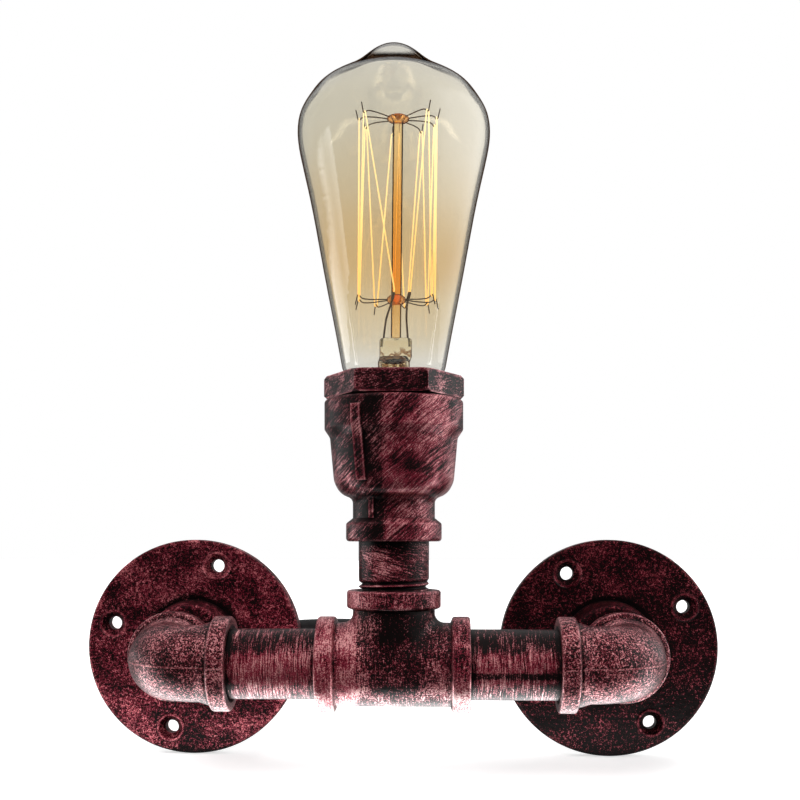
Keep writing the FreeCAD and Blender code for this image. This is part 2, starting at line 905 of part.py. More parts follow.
def make_plunger():
    """Makes the sprung centre contact of the lampholder."""
    head_r = plunger_head_d / 2
    stem_r = plunger_stem_d / 2
    return turned([
        (0, plunger_head_low - plunger_stem_length),
        (stem_r, plunger_head_low - plunger_stem_length),
        (stem_r, plunger_head_low),
        (head_r, plunger_head_low),
        (head_r, plunger_top - plunger_edge),
        (head_r - plunger_edge, plunger_top),
        (0, plunger_top),
    ])


def coil_wire(radius, pitch, turns, low):
    """Lays out a coil about Z as arcs that run smoothly into each other."""

    def place(step):
        angle = 2 * math.pi * step / arcs_per_turn
        return Vector(radius * math.cos(angle), radius * math.sin(angle),
                      low + pitch * step / arcs_per_turn)

    def heading(step):
        angle = 2 * math.pi * step / arcs_per_turn
        around = 2 * math.pi * radius
        return Vector(-around * math.sin(angle), around * math.cos(angle), pitch).normalize()

    edges = []
    for step in range(turns * arcs_per_turn):
        start, end = place(step), place(step + 1)
        leaving, arriving = heading(step), heading(step + 1)
        span = end - start
        closing = 2 * (leaving.dot(arriving) - 1)
        along_both = span.dot(leaving + arriving)
        root = math.sqrt(along_both ** 2 - closing * span.dot(span))
        reach = (along_both - root) / closing
        corners = (start + leaving * reach, end - arriving * reach)
        joint = (corners[0] + corners[1]) * 0.5
        edges.append(arc_to_corner(start, corners[0], joint))
        edges.append(arc_to_corner(joint, corners[1], end))
    return Part.Wire(edges)


def arc_to_corner(start, corner, end):
    """Makes the arc from start to end that leaves and arrives along the lines to a corner."""
    middle = (start + end) * 0.5
    lean = math.acos((end - start).Length / 2 / (corner - start).Length)
    top = middle + (corner - middle) * (math.tan(lean / 2) / math.tan(lean))
    return Part.Arc(start, top, end).toShape()


def make_contact_spring():
    """Makes the coil spring under the centre contact."""
    low = plate_top + spring_wire / 2 + spring_end_gap
    high = plunger_head_low - spring_wire / 2 - spring_end_gap
    pitch = (high - low) / spring_turns
    path = coil_wire(spring_mean_d / 2, pitch, spring_turns, low)
    start = Vector(spring_mean_d / 2, 0, low)
    tangent = Vector(0, math.pi * spring_mean_d, pitch)
    section = Part.Wire(Part.makeCircle(spring_wire / 2, start, tangent))
    return path.makePipeShell([section], True, False)


def make_live_terminal():
    """Makes the terminal that guides the centre contact and grips the live conductor."""
    low = plate_top - terminal_plate
    plate_r = spring_mean_d / 2 + spring_wire / 2 + spring_bore_clearance - pocket_clearance
    plate = rod(2 * plate_r, low, plate_top)
    half = terminal_block_width / 2
    block_low = terminal_block_x - half
    arm = block(0, block_low + overrun, half - pocket_clearance, low, plate_top)
    grip = block(block_low, terminal_block_x + half, half, grip_low, grip_top)
    guide = rod(plunger_stem_d + 2 * plunger_guide_clearance, low - overrun, plate_top + overrun)
    entry = rod(conductor_d + entry_clearance, boss_low, grip_top - terminal_cover,
                terminal_block_x)
    return plate.fuse([arm, grip]).removeSplitter().cut([guide, entry])


def make_neutral_terminal():
    """Makes the terminal that grips the neutral conductor and reaches up to the screw shell."""
    half = terminal_block_width / 2
    grip = block(-terminal_block_x - half, -terminal_block_x + half, half, grip_low, grip_top)
    strap_right = -terminal_block_x + strap_thickness / 2
    riser = block(strap_right - strap_thickness, strap_right, strap_width / 2,
                  grip_top - pocket_clearance, shell_low)
    strap_left = -holder_od / 2 + holder_wall + pocket_clearance
    foot = block(strap_left, strap_right, strap_width / 2, holder_cavity_floor, shell_low)
    entry = rod(conductor_d + entry_clearance, boss_low, grip_top - terminal_cover,
                -terminal_block_x)
    return grip.fuse([riser, foot]).removeSplitter().cut(entry)


def make_earth_ring():
    """Makes the ring terminal that earths the fittings, with its tab to the rear."""
    inner_r = socket_neck_bore / 2 + earth_ring_inset
    ring = turned([
        (inner_r, socket_floor_z),
        (earth_ring_od / 2, socket_floor_z),
        (earth_ring_od / 2, holder_base),
        (inner_r, holder_base),
    ])
    tab_in = earth_core_y - core_d / 2
    tab = block(tab_in, inner_r + overrun, earth_tab_width / 2, socket_floor_z, holder_base)
    tab.rotate(Vector(0, 0, 0), Z_AXIS, 90)
    return ring.fuse(tab).removeSplitter()


def glass_profile():
    """Gives the outside of the bulb as (radius, height) points from its top down to its neck."""
    top = cap_rim + bulb_height
    points = [(radius, top - down) for radius, down in glass_crown]
    points += [(bulb_radius - inward, top - down) for inward, down in glass_flank]
    return points + [(bulb_radius - glass_shoulder_in, cap_rim + glass_shoulder_height)]


def glass_edges(points, neck_r):
    """Joins the body curve, the shoulder curve and the straight neck of one glass wall."""
    body = Part.BSplineCurve()
    body.interpolate(points)
    slope = body.tangent(body.LastParameter)[0]
    neck_high = Vector(neck_r, 0, cap_rim - glass_neck_straight)
    reach = (points[-1].z - neck_high.z) * glass_shoulder_pull
    shoulder = Part.BezierCurve()
    shoulder.setPoles([points[-1], points[-1] + slope * reach,
                       neck_high + Z_AXIS * reach, neck_high])
    neck = Part.LineSegment(neck_high, Vector(neck_r, 0, neck_low))
    return [body.toShape(), shoulder.toShape(), neck.toShape()]


def make_bulb_glass():
    """Makes the thin glass envelope, open at its neck."""
    points = [Vector(radius, 0, height) for radius, height in glass_profile()]
    inner_points = [points[0] - Z_AXIS * glass_wall]
    for before, point, after in zip(points, points[1:], points[2:]):
        tangent = (after - before).normalize()
        inner_points.append(point + Vector(tangent.z, 0, -tangent.x) * glass_wall)
    tangent = (points[-1] - points[-2]).normalize()
    inner_points.append(points[-1] + Vector(tangent.z, 0, -tangent.x) * glass_wall)
    neck_r = glass_neck_d / 2
    edges = glass_edges(points, neck_r) + glass_edges(inner_points, neck_r - glass_wall)
    edges.append(Part.LineSegment(Vector(neck_r, 0, neck_low),
                                  Vector(neck_r - glass_wall, 0, neck_low)).toShape())
    edges.append(Part.LineSegment(inner_points[0], points[0]).toShape())
    profile = Part.Wire(Part.sortEdges(edges)[0])
    return Part.Face(profile).revolve(Vector(0, 0, 0), Z_AXIS, 360)


def make_stem():
    """Makes the glass flare and the flattened press that carry the filament mount."""
    neck_r = glass_neck_d / 2
    tube_r = stem_neck_d / 2
    wall = glass_wall
    flare_top = neck_low + stem_flare_height
    shoulder_low = press_bottom - stem_shoulder
    flare = turned([
        (neck_r, neck_low - wall),
        (neck_r, neck_low),
        (neck_r - wall, neck_low),
        (tube_r + stem_flare_knee, flare_top - stem_flare_bend),
        (tube_r, flare_top),
        (tube_r, shoulder_low),
        (tube_r - wall, shoulder_low),
        (tube_r - wall, flare_top),
        (tube_r + stem_flare_knee - wall, flare_top - stem_flare_bend),
        (neck_r - 2 * wall, neck_low - wall),
    ])
    foot = Part.Wire(Part.makeCircle(tube_r, Vector(0, 0, shoulder_low), Z_AXIS))
    shoulder = Part.makeLoft([foot, press_outline(press_bottom)], True)
    return flare.fuse([shoulder, press_slab(press_bottom, press_top)]).removeSplitter()


def press_outline(height):
    """Gives the rounded outline of the flattened glass press at a height."""
    half_y = press_thickness / 2
    straight = press_width / 2 - half_y
    right = Vector(mount_offset + straight, half_y, height)
    left = Vector(mount_offset - straight, half_y, height)
    depth = Vector(0, press_thickness, 0)
    return Part.Wire([
        Part.Arc(right - depth, right + Vector(half_y, -half_y, 0), right).toShape(),
        Part.LineSegment(right, left).toShape(),
        Part.Arc(left, left + Vector(-half_y, -half_y, 0), left - depth).toShape(),
        Part.LineSegment(left - depth, right - depth).toShape(),
    ])


def press_slab(low, high):
    """Makes the flattened block of the press with eased top edges."""
    slab = Part.Face(press_outline(low)).extrude(Vector(0, 0, high - low))
    top_edges = [edge for edge in slab.Edges if edge.BoundBox.ZMin > high - edge_level]
    return slab.makeFillet(press_edge_round, top_edges)


def hook_points(angle, height, across, up):
    """Gives the route of one support wire from its bead to its hooked tip."""
    outward = Vector(math.cos(math.radians(angle)), math.sin(math.radians(angle)), 0)
    sign = 1 if up else -1
    lift = Vector(0, 0, sign)
    centre = Vector(0, 0, height)
    return [
        centre + outward * (across / 2 - support_sunk),
        centre + outward * (support_reach - support_rise_in) + lift * support_rise,
        centre + outward * (support_reach - support_crest_in) + lift * support_crest,
        centre + outward * (support_reach - support_seat_in) - lift * support_dip,
        centre + outward * support_reach + lift * support_tip,
    ]


def lower_hook_angles():
    """Puts each lower hook midway between two neighbours of the upper ones."""
    return [(first + after) / 2 for first, after in zip(upper_hook_angles, upper_hook_angles[1:])]


def make_spider(angles, height, across, up):
    """Makes the support wires of one bead."""
    routes = [hook_points(angle, height, across, up) for angle in angles]
    return Part.makeCompound([tube_along(route, support_wire_d) for route in routes])


def make_bead(height, across, thickness):
    """Makes a rounded glass bead round the rod."""
    shape = Part.makeSphere(across / 2)
    squash = FreeCAD.Matrix()
    squash.scale(1, 1, thickness / across)
    bead = shape.transformGeometry(squash)
    bead.translate(Vector(0, 0, height))
    return bead.cut(rod(rod_d, height - thickness, height + thickness))


def turn_points(hook, angle):
    """Gives the two points where the filament passes through the bend of one hook."""
    radians = math.radians(angle)
    onward = Vector(math.sin(radians), -math.cos(radians), 0)
    seat = corner_arc(hook[-3], hook[-2], hook[-1])[3]
    half = filament_turn_width / 2
    return seat - onward * half, seat + onward * half


def make_filament():
    """Makes the filament as one wire laced over the upper and lower hooks."""
    left_lead, right_lead = lead_routes()
    left_forward = (left_lead[-1] - left_lead[-2]).normalize()
    right_forward = (right_lead[-1] - right_lead[-2]).normalize()
    points = [left_lead[-1], left_lead[-1] + left_forward * filament_straight]
    lower_angles = lower_hook_angles()
    for index, angle in enumerate(upper_hook_angles):
        points.extend(turn_points(hook_points(angle, upper_bead_z, upper_bead_d, True), angle))
        if index < len(lower_angles):
            low = lower_angles[index]
            points.extend(turn_points(hook_points(low, lower_bead_z, lower_bead_d, False), low))
    points.extend([right_lead[-1] + right_forward * filament_straight, right_lead[-1]])
    return tube_along(points, filament_d, filament_ease)


def lead_route(foot_points, end_points):
    """Lays out one lead wire, first above the press and then above the lower bead."""
    route = [Vector(x, y, press_top + up) for x, y, up in foot_points]
    return route + [Vector(x, y, lower_bead_z + up) for x, y, up in end_points]


def lead_routes():
    """Gives the routes of the two lead wires from the press to the ends of the filament."""
    left = lead_route(left_lead_foot, left_lead_end)
    return left, lead_route(right_lead_foot, right_lead_end)


def make_lead_wires():
    """Makes the two lead wires, each with its crimped end."""
    wires = []
    for route in lead_routes():
        wire = tube_along(route, lead_wire_d)
        forward = (route[-1] - route[-2]).normalize()
        crimp = Part.makeCylinder(lead_crimp_d / 2, lead_crimp_length,
                                  route[-1] - forward * lead_crimp_length, forward)
        wires.append(wire.fuse(crimp))
    return Part.makeCompound(wires)


def lean(shape):
    """Leans the filament mount a little to the right, as it stands in its glass."""
    moved = shape.copy()
    moved.translate(Vector(mount_offset, 0, 0))
    moved.rotate(Vector(mount_offset, 0, press_bottom), Y_AXIS, mount_lean)
    return moved


def at_run(shape, x=0.0):
    """Moves a shape from the run's own axes to its place in front of the wall."""
    moved = shape.copy()
    moved.translate(Vector(x, run_y, 0))
    return moved


def mirrored(shape):
    """Mirrors a shape to the other side of the light."""
    return shape.mirror(Vector(0, 0, 0), X_AXIS)


def build_wall_side():
    """Builds the flanges, their nipples, the elbows and the two short pipes."""
    flange = along(make_flange(), Vector(0, 0, 0), -Y_AXIS)
    nipple_low = flange_hub_height - thread_engaged
    nipple_high = pipe_axis_out - elbow_reach + thread_engaged
    nipple = along(pipe_piece(pipe_od, pipe_bore, nipple_high - nipple_low),
                   Vector(0, -nipple_low, 0), -Y_AXIS)
    left_flange = flange.copy()
    left_flange.rotate(Vector(0, 0, 0), Y_AXIS, left_flange_turn)
    for side, name, plate in ((-1, "left", left_flange), (1, "right", flange)):
        x = side * flange_half_spacing
        placed = plate.copy()
        placed.translate(Vector(x, 0, 0))
        save("wall_flange_" + name, placed)
        placed = nipple.copy()
        placed.translate(Vector(x, 0, 0))
        save("flange_nipple_" + name, placed)
    elbow = make_elbow()
    save("elbow_left", at_run(elbow, -flange_half_spacing))
    save("elbow_right", at_run(mirrored(elbow), flange_half_spacing))
    start = flange_half_spacing - elbow_reach + thread_engaged
    end = tee_run_reach - thread_engaged
    piece = pipe_piece(pipe_od, pipe_bore, start - end)
    save("pipe_right", at_run(along(piece, Vector(end, 0, 0), X_AXIS)))
    save("pipe_left", at_run(along(piece, Vector(-end, 0, 0), -X_AXIS)))


def build_column():
    """Builds the tee, riser, reducing socket and hexagon bushing."""
    save("tee", at_run(make_tee()))
    save("riser_nipple", at_run(make_riser()))
    save("reducing_socket", at_run(make_reducing_socket()))
    save("hex_bushing", at_run(make_hex_bushing()))


def build_holder():
    """Builds the lampholder inside the reducing socket."""
    gasket = turned([
        (bushing_bore / 2, holder_rim),
        (holder_od / 2, holder_rim),
        (holder_od / 2, spigot_bottom),
        (bushing_bore / 2, spigot_bottom),
    ])
    save("holder_gasket", at_run(gasket))
    save("holder_body", at_run(make_holder_body()))
    save("screw_shell", at_run(make_screw_shell()))
    save("centre_contact", at_run(make_plunger()))
    save("contact_spring", at_run(make_contact_spring()))
    save("live_terminal", at_run(make_live_terminal()))
    save("neutral_terminal", at_run(make_neutral_terminal()))
    save("earth_ring", at_run(make_earth_ring()))


def build_bulb():
    """Builds the bulb from its tip contact to its filament."""
    save("tip_contact", at_run(make_tip_contact()))
    save("cap_insulator", at_run(make_cap_insulator()))
    save("bulb_cap", at_run(make_bulb_cap()))
    save("bulb_glass", at_run(make_bulb_glass()))
    rod_top = upper_bead_z + upper_bead_thickness / 2 - rod_short
    glass_rod = lean(rod(rod_d, press_top - rod_sunk, rod_top))
    leads = lean(make_lead_wires())
    save("glass_stem", at_run(make_stem().cut([glass_rod] + leads.Solids)))
    save("support_rod", at_run(glass_rod))
    save("lead_wires", at_run(leads))
    upper = make_spider(upper_hook_angles, upper_bead_z, upper_bead_d, True)
    lower = make_spider(lower_hook_angles(), lower_bead_z, lower_bead_d, False)
    upper_bead = make_bead(upper_bead_z, upper_bead_d, upper_bead_thickness)
    lower_bead = make_bead(lower_bead_z, lower_bead_d, lower_bead_thickness)
    save("upper_bead", at_run(lean(upper_bead.cut(upper.Solids))))
    save("lower_bead", at_run(lean(lower_bead.cut(lower.Solids))))
    save("upper_supports", at_run(lean(upper)))
    save("lower_supports", at_run(lean(lower)))
    save("filament", at_run(lean(make_filament())))


def core_place(index, count, radius):
    """Gives the place of one core inside the sheath."""
    angle = math.radians(90 + 360 * index / count)
    return Vector(radius * math.cos(angle), radius * math.sin(angle), 0)


def build_cable():
    """Builds the supply cable through the fittings and the short tail behind the wall flange."""
    left = -flange_half_spacing
    route = [
        Vector(left, 0, 0),
        Vector(left, run_y, 0),
        Vector(0, run_y, 0),
        Vector(0, run_y, cable_sheath_top),
    ]
    save("supply_cable", tube_along(route, cable_d, name="supply_cable"))
    ends = (
        ("core_live", terminal_block_x, 0.0, grip_low),
        ("core_neutral", -terminal_block_x, 0.0, grip_low),
        ("core_earth", 0.0, earth_core_y, socket_floor_z),
    )
    starts = [core_place(index, 3, core_ring) for index in (2, 1, 0)]
    conductors = []
    for (name, x, y, top), start in zip(ends, starts):
        low = start + Vector(0, 0, cable_sheath_top)
        bend_low = low + Vector(0, 0, core_straight)
        bend_high = Vector(x, y, boss_low - core_below_boss)
        bare = top - core_stripped
        save(name, at_run(tube_along([low, bend_low, bend_high, Vector(x, y, bare)], core_d)))
        depth = 0.0 if name == "core_earth" else grip_depth
        conductors.append(rod(conductor_d, bare, top + depth, x, y))
    save("conductor_ends", at_run(Part.makeCompound(conductors)))
    tail = [Vector(left + x, y, z) for x, y, z in tail_route]
    save("supply_tail", tube_along(tail, cable_d, name="supply_tail"))
    build_tail_cores(tail)


def build_tail_cores(tail):
    """Builds the three cores that stand out of the end of the tail."""
    end = tail[-1]
    forward = (tail[-1] - tail[-2]).normalize()
    sideways = forward.cross(Z_AXIS).normalize()
    upward = sideways.cross(forward).normalize()
    names = ("tail_core_live", "tail_core_neutral", "tail_core_earth")
    ferrules = []
    for index, name in enumerate(names):
        place = core_place(index, len(names), 1)
        outward = sideways * place.x + upward * place.y
        low = end + outward * core_ring
        points = [
            low,
            low + forward * tail_core_straight,
            low + forward * tail_core_bend + outward * tail_core_bend_spread
            - Z_AXIS * tail_core_bend_droop,
            low + forward * tail_core_length + outward * tail_core_spread
            - Z_AXIS * tail_core_droop,
        ]
        save(name, tube_along(points, core_d))
        last = (points[-1] - points[-2]).normalize()
        ferrules.append(Part.makeCylinder(conductor_d / 2, tail_ferrule_length, points[-1], last))
    save("tail_conductors", Part.makeCompound(ferrules))


def main():
    """Builds every node of the wall light."""
    os.makedirs("parts", exist_ok=True)
    build_wall_side()
    build_column()
    build_holder()
    build_bulb()
    build_cable()


main()
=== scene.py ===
"""Dresses a wall light of pipe fittings: rubbed red paint, a clear filament bulb and its wiring."""
import logging
import math
from dataclasses import dataclass, replace
from enum import Enum
from functools import partial, reduce
from typing import Dict, Optional, Sequence, Tuple, Union

import bpy
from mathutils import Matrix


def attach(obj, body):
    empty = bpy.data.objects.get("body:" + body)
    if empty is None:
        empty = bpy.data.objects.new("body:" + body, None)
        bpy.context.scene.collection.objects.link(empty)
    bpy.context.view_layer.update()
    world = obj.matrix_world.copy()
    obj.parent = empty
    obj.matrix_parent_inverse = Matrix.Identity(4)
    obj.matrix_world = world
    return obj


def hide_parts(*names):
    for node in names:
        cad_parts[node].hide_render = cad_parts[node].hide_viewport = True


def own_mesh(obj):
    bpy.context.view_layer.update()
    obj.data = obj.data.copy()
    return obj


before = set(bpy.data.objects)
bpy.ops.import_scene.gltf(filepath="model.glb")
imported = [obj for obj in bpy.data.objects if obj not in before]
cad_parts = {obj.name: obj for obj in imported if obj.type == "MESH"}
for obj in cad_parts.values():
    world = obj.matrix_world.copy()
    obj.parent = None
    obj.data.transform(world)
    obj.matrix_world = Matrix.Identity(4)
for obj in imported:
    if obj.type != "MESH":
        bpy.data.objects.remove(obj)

Colour = Tuple[float, float, float]
Point = Tuple[float, float, float]
Limits = Tuple[float, float]
Node = bpy.types.Node
Tree = bpy.types.NodeTree
Socket = bpy.types.NodeSocket
Material = bpy.types.Material
Feed = Union[float, Sequence[float], Socket]
Feeds = Dict[Union[str, int], Feed]

MM = 0.001
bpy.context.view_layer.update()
LOG = logging.getLogger("wall_light")
NODE_WIDTH = 180.0
NODE_HEIGHT = 220.0
NODE_ROWS = 3
NOISE_MIDDLE = 0.5
TUBE_STEPS = 24
TUBE_SIDES = 6
QUADRATIC = 3


class Lay(Enum):
    """The direction in which the paint was rubbed on, as the stretch of its strokes along X, Y and Z."""

    ROUND_THE_RUN = (0.0, 1.0, 1.0)
    LEVEL = (1.0, 1.0, 0.0)
    DABBED = (0.0, 0.0, 0.0)


class Side(Enum):
    """The two wall sides of the light, as the viewer sees them."""

    LEFT = "left"
    RIGHT = "right"


class Axis(Enum):
    """The directions in which a band of paint can be laid out."""

    ACROSS = "X"
    DEEP = "Y"
    UP = "Z"


class Core(Enum):
    """The cores of the supply cable."""

    LIVE = "live"
    NEUTRAL = "neutral"
    EARTH = "earth"


class Mixed(Enum):
    """What a Mix node mixes: its data type, the numbers of its two inputs and that of its output."""

    NUMBERS = ("FLOAT", 2, 3, 0)
    COLOURS = ("RGBA", 6, 7, 2)


class NodeSketch:
    """Adds nodes to one tree and joins them."""

    def __init__(self, tree: Tree) -> None:
        """Keeps the tree of a material, a world or a group, which the nodes go into."""
        self.tree = tree
        self.count = 0
        self.splits: Dict[Socket, Node] = {}

    def put(self, kind: str, feeds: Optional[Feeds] = None, **settings: object) -> Node:
        """Adds a node.

        Args:
            kind: The node's type name.
            feeds: What its inputs get.
            settings: Properties to set on it.

        Returns:
            The new node.
        """
        node = self.tree.nodes.new(kind)
        node.location = (self.count * NODE_WIDTH, -NODE_HEIGHT * (self.count % NODE_ROWS))
        self.count += 1
        for name, value in settings.items():
            setattr(node, name, value)
        self.fill(node, feeds or {})
        return node

    def fill(self, node: Node, feeds: Feeds) -> None:
        """Joins outputs to the inputs of a node, or sets the inputs' own values.

        Args:
            node: The node that is fed.
            feeds: An output socket, a number or a tuple for each input, by its name or number.
        """
        for name, value in feeds.items():
            target = node.inputs[name]
            if isinstance(value, Socket):
                self.tree.links.new(value, target)
            elif target.type == "RGBA" and len(value) == 3:
                target.default_value = (*value, 1.0)
            else:
                target.default_value = value

    def calc(self, operation: str, *values: Feed) -> Socket:
        """Adds one step of arithmetic to the values, by the Math node's operation."""
        return self.put("ShaderNodeMath", dict(enumerate(values)), operation=operation).outputs[0]

    def total(self, *values: Feed) -> Socket:
        """Adds several values up."""
        return reduce(partial(self.calc, "ADD"), values)

    def product(self, *values: Feed) -> Socket:
        """Multiplies several values."""
        return reduce(partial(self.calc, "MULTIPLY"), values)

    def centred(self, pattern: Feed) -> Socket:
        """Moves a noise pattern down, so that it varies around 0."""
        return self.calc("SUBTRACT", pattern, NOISE_MIDDLE)

    def step(self, value: Feed, low: Feed, high: Feed) -> Socket:
        """Gives a soft mask that is 0 where the value is at low and 1 where it is at high."""
        feeds = {"Value": value, "From Min": low, "From Max": high}
        return self.put("ShaderNodeMapRange", feeds, interpolation_type="SMOOTHSTEP").outputs["Result"]

    def band(self, value: Feed, low: float, high: float, soft: float) -> Socket:
        """Gives a mask that is 1 between two limits, with slopes as wide as soft."""
        rise = self.step(value, low - soft / 2, low + soft / 2)
        return self.product(rise, self.step(value, high + soft / 2, high - soft / 2))

    def span(self, value: Feed, low: Feed, high: Feed) -> Socket:
        """Spreads a value that runs from 0 to 1 between two limits."""
        feeds = {"Value": value, "To Min": low, "To Max": high}
        return self.put("ShaderNodeMapRange", feeds).outputs["Result"]

    def blend(self, share: Feed, first: Feed, second: Feed, kind: Mixed = Mixed.COLOURS) -> Socket:
        """Mixes two colours or numbers, so that the share of the second one shows."""
        data_type, low, high, result = kind.value
        feeds = {0: share, low: first, high: second}
        return self.put("ShaderNodeMix", feeds, data_type=data_type).outputs[result]

    def layered(self, share: Feed, under: Socket, over: Socket) -> Socket:
        """Lays one shader over another, so that the share of the upper one shows."""
        return self.put("ShaderNodeMixShader", {0: share, 1: under, 2: over}).outputs[0]

    def scaled(self, place: Feed, factors: Feed) -> Socket:
        """Multiplies a place by a factor for each axis."""
        return self.put("ShaderNodeVectorMath", {0: place, 1: factors}, operation="MULTIPLY").outputs[0]

    def turned(self, place: Feed, angle: Feed) -> Socket:
        """Turns a place about the depth axis."""
        feeds = {"Vector": place, "Angle": angle}
        return self.put("ShaderNodeVectorRotate", feeds, rotation_type="Y_AXIS").outputs[0]

    def noise(self, place: Feed, scale: Feed, detail: float = 2.0, rough: float = 0.5) -> Socket:
        """Adds a noise pattern from 0 to 1 around a half, with finer layers by detail and rough."""
        feeds = {"Vector": place, "Scale": scale, "Detail": detail, "Roughness": rough}
        return self.put("ShaderNodeTexNoise", feeds, noise_dimensions="3D").outputs[0]

    def bump(self, height: Feed, depth: float, normal: Optional[Socket] = None) -> Socket:
        """Turns a height pattern into a normal.

        Args:
            height: The pattern.
            depth: How deep it is, in millimetres.
            normal: The normal of a coarser pattern below it.

        Returns:
            The normal.
        """
        feeds: Feeds = {"Distance": depth * MM, "Height": height}
        if normal is not None:
            feeds["Normal"] = normal
        return self.put("ShaderNodeBump", feeds).outputs[0]

    def millimetres(self) -> Socket:
        """Gives the place on the light in millimetres."""
        return self.scaled(self.put("ShaderNodeTexCoord").outputs["Object"], (1 / MM, 1 / MM, 1 / MM))

    def along(self, place: Socket, axis: Axis) -> Socket:
        """Gives one coordinate of a place, and splits each place only once.

        Args:
            place: The place.
            axis: Which coordinate.

        Returns:
            The coordinate.
        """
        if place not in self.splits:
            self.splits[place] = self.put("ShaderNodeSeparateXYZ", {0: place})
        return self.splits[place].outputs[axis.value]

    def group(self, tree: Tree, **feeds: Feed) -> Node:
        """Places a node group and feeds its inputs by their names."""
        return self.put("ShaderNodeGroup", feeds, node_tree=tree)

    def finish(self, surface: Socket) -> None:
        """Makes a shader the surface of the material."""
        self.fill(self.tree.nodes["Material Output"], {"Surface": surface})


@dataclass
class EffectGroups:
    """The shared effects of the finishes, each one a node group that is made once.

    A scale is the fineness of a pattern for each millimetre, and limits are where a mask is 0 and 1.
    """

    wobble_scale: float = 0.16
    wobble_reach: float = 0.9
    hair_lean: float = 0.45
    hair_fineness: float = 2.8
    hair_share: float = 0.45
    wide_share: float = 0.55
    fleck_scale: float = 1.5
    contrast: float = 1.9
    patch_scale: float = 0.13
    grit_scale: float = 3.0
    wash_limits: Limits = (0.42, 0.50)
    paint_limits: Limits = (0.49, 0.52)
    bloom_limits: Limits = (0.575, 0.75)
    bloom_cover: float = 0.5
    edge_limits: Limits = (0.90, 0.55)
    recess_limits: Limits = (0.92, 0.45)
    shade_samples: int = 4
    dent_scale: float = 0.45
    dent_share: float = 1.4
    pit_scale: float = 0.55
    pit_limits: Limits = (0.02, 0.16)
    pit_share: float = 0.25

    def __post_init__(self) -> None:
        """Builds every group."""
        self.rubbed = self._rubbed_pigment()
        self.coat = self._pigment_coat()
        self.edges = self._near_mask("edge catch", "Width", "Edges", True, self.edge_limits)
        self.recess = self._near_mask("enclosed corners", "Reach", "Recess", False, self.recess_limits)
        self.grain = self._cast_grain()

    @staticmethod
    def _start(title: str, inputs: Dict[str, str], outputs: Dict[str, str]) -> Tuple[
            NodeSketch, Node, Node]:
        """Opens a new group.

        Args:
            title: The group's name.
            inputs: The kind of each named input.
            outputs: The kind of each named output.

        Returns:
            The group's sketch, its input node and its output node.
        """
        tree = bpy.data.node_groups.new(title, "ShaderNodeTree")
        for name, kind in inputs.items():
            tree.interface.new_socket(name=name, in_out="INPUT", socket_type=kind)
        for name, kind in outputs.items():
            tree.interface.new_socket(name=name, in_out="OUTPUT", socket_type=kind)
        sketch = NodeSketch(tree)
        return sketch, sketch.put("NodeGroupInput"), sketch.put("NodeGroupOutput")

    def _rubbed_pigment(self) -> Tree:
        """Makes the field that says how thick the rubbed paint lies, in strokes, patches and flecks.

        Returns:
            The group.
        """
        sketch, given, out = self._start(
            "rubbed pigment",
            {"Place": "NodeSocketVector", "Lean": "NodeSocketFloat", "Stretch": "NodeSocketVector",
             "Fineness": "NodeSocketFloat", "Streaking": "NodeSocketFloat", "Patches": "NodeSocketFloat",
             "Grit": "NodeSocketFloat"},
            {"Pigment": "NodeSocketFloat", "Bristle": "NodeSocketFloat"})
        place, lean, stretch, fineness, streaking, patching, gritting = given.outputs[:7]
        wobble = sketch.put(
            "ShaderNodeTexNoise", {"Vector": place, "Scale": self.wobble_scale, "Detail": 1.0},
            noise_dimensions="3D")
        shifted = sketch.put(
            "ShaderNodeVectorMath", {0: wobble.outputs["Color"], 1: (self.wobble_reach,) * 3, 2: place},
            operation="MULTIPLY_ADD")
        leaning = sketch.turned(shifted.outputs[0], lean)
        crossing = sketch.turned(leaning, sketch.product(lean, self.hair_lean))
        wide = sketch.noise(sketch.scaled(leaning, stretch), fineness, detail=3.0, rough=0.62)
        hair = sketch.noise(
            sketch.scaled(crossing, stretch), sketch.product(fineness, self.hair_fineness), rough=0.6)
        streaks = sketch.total(sketch.product(wide, self.wide_share), sketch.product(hair, self.hair_share))
        flecks = sketch.noise(place, self.fleck_scale, detail=3.0, rough=0.7)
        pattern = sketch.blend(streaking, flecks, streaks, Mixed.NUMBERS)
        bristle = sketch.calc("MULTIPLY_ADD", sketch.centred(pattern), self.contrast, NOISE_MIDDLE)
        patches = sketch.product(sketch.centred(sketch.noise(place, self.patch_scale)), patching)
        grit = sketch.product(sketch.centred(sketch.noise(place, self.grit_scale, detail=1.0)), gritting)
        sketch.fill(out, {"Pigment": sketch.total(bristle, patches, grit), "Bristle": bristle})
        return sketch.tree

    def _pigment_coat(self) -> Tree:
        """Makes the colour of the rubbed coat from its thickness, and its cover over the black.

        Returns:
            The group.
        """
        colours = {name: "NodeSocketColor" for name in ("Ground", "Wash", "Paint", "Bloom")}
        sketch, given, out = self._start(
            "pigment coat", {"Pigment": "NodeSocketFloat", "Cover": "NodeSocketFloat", **colours},
            {"Colour": "NodeSocketColor", "Thickness": "NodeSocketFloat"})
        pigment, cover, ground, wash, paint, bloom = given.outputs[:6]
        lifted = sketch.total(pigment, cover)
        raised = sketch.total(pigment, sketch.product(cover, self.bloom_cover))
        thickness = sketch.step(lifted, *self.paint_limits)
        colour = sketch.blend(sketch.step(lifted, *self.wash_limits), ground, wash)
        colour = sketch.blend(thickness, colour, paint)
        colour = sketch.blend(sketch.step(raised, *self.bloom_limits), colour, bloom)
        sketch.fill(out, {"Colour": colour, "Thickness": thickness})
        return sketch.tree

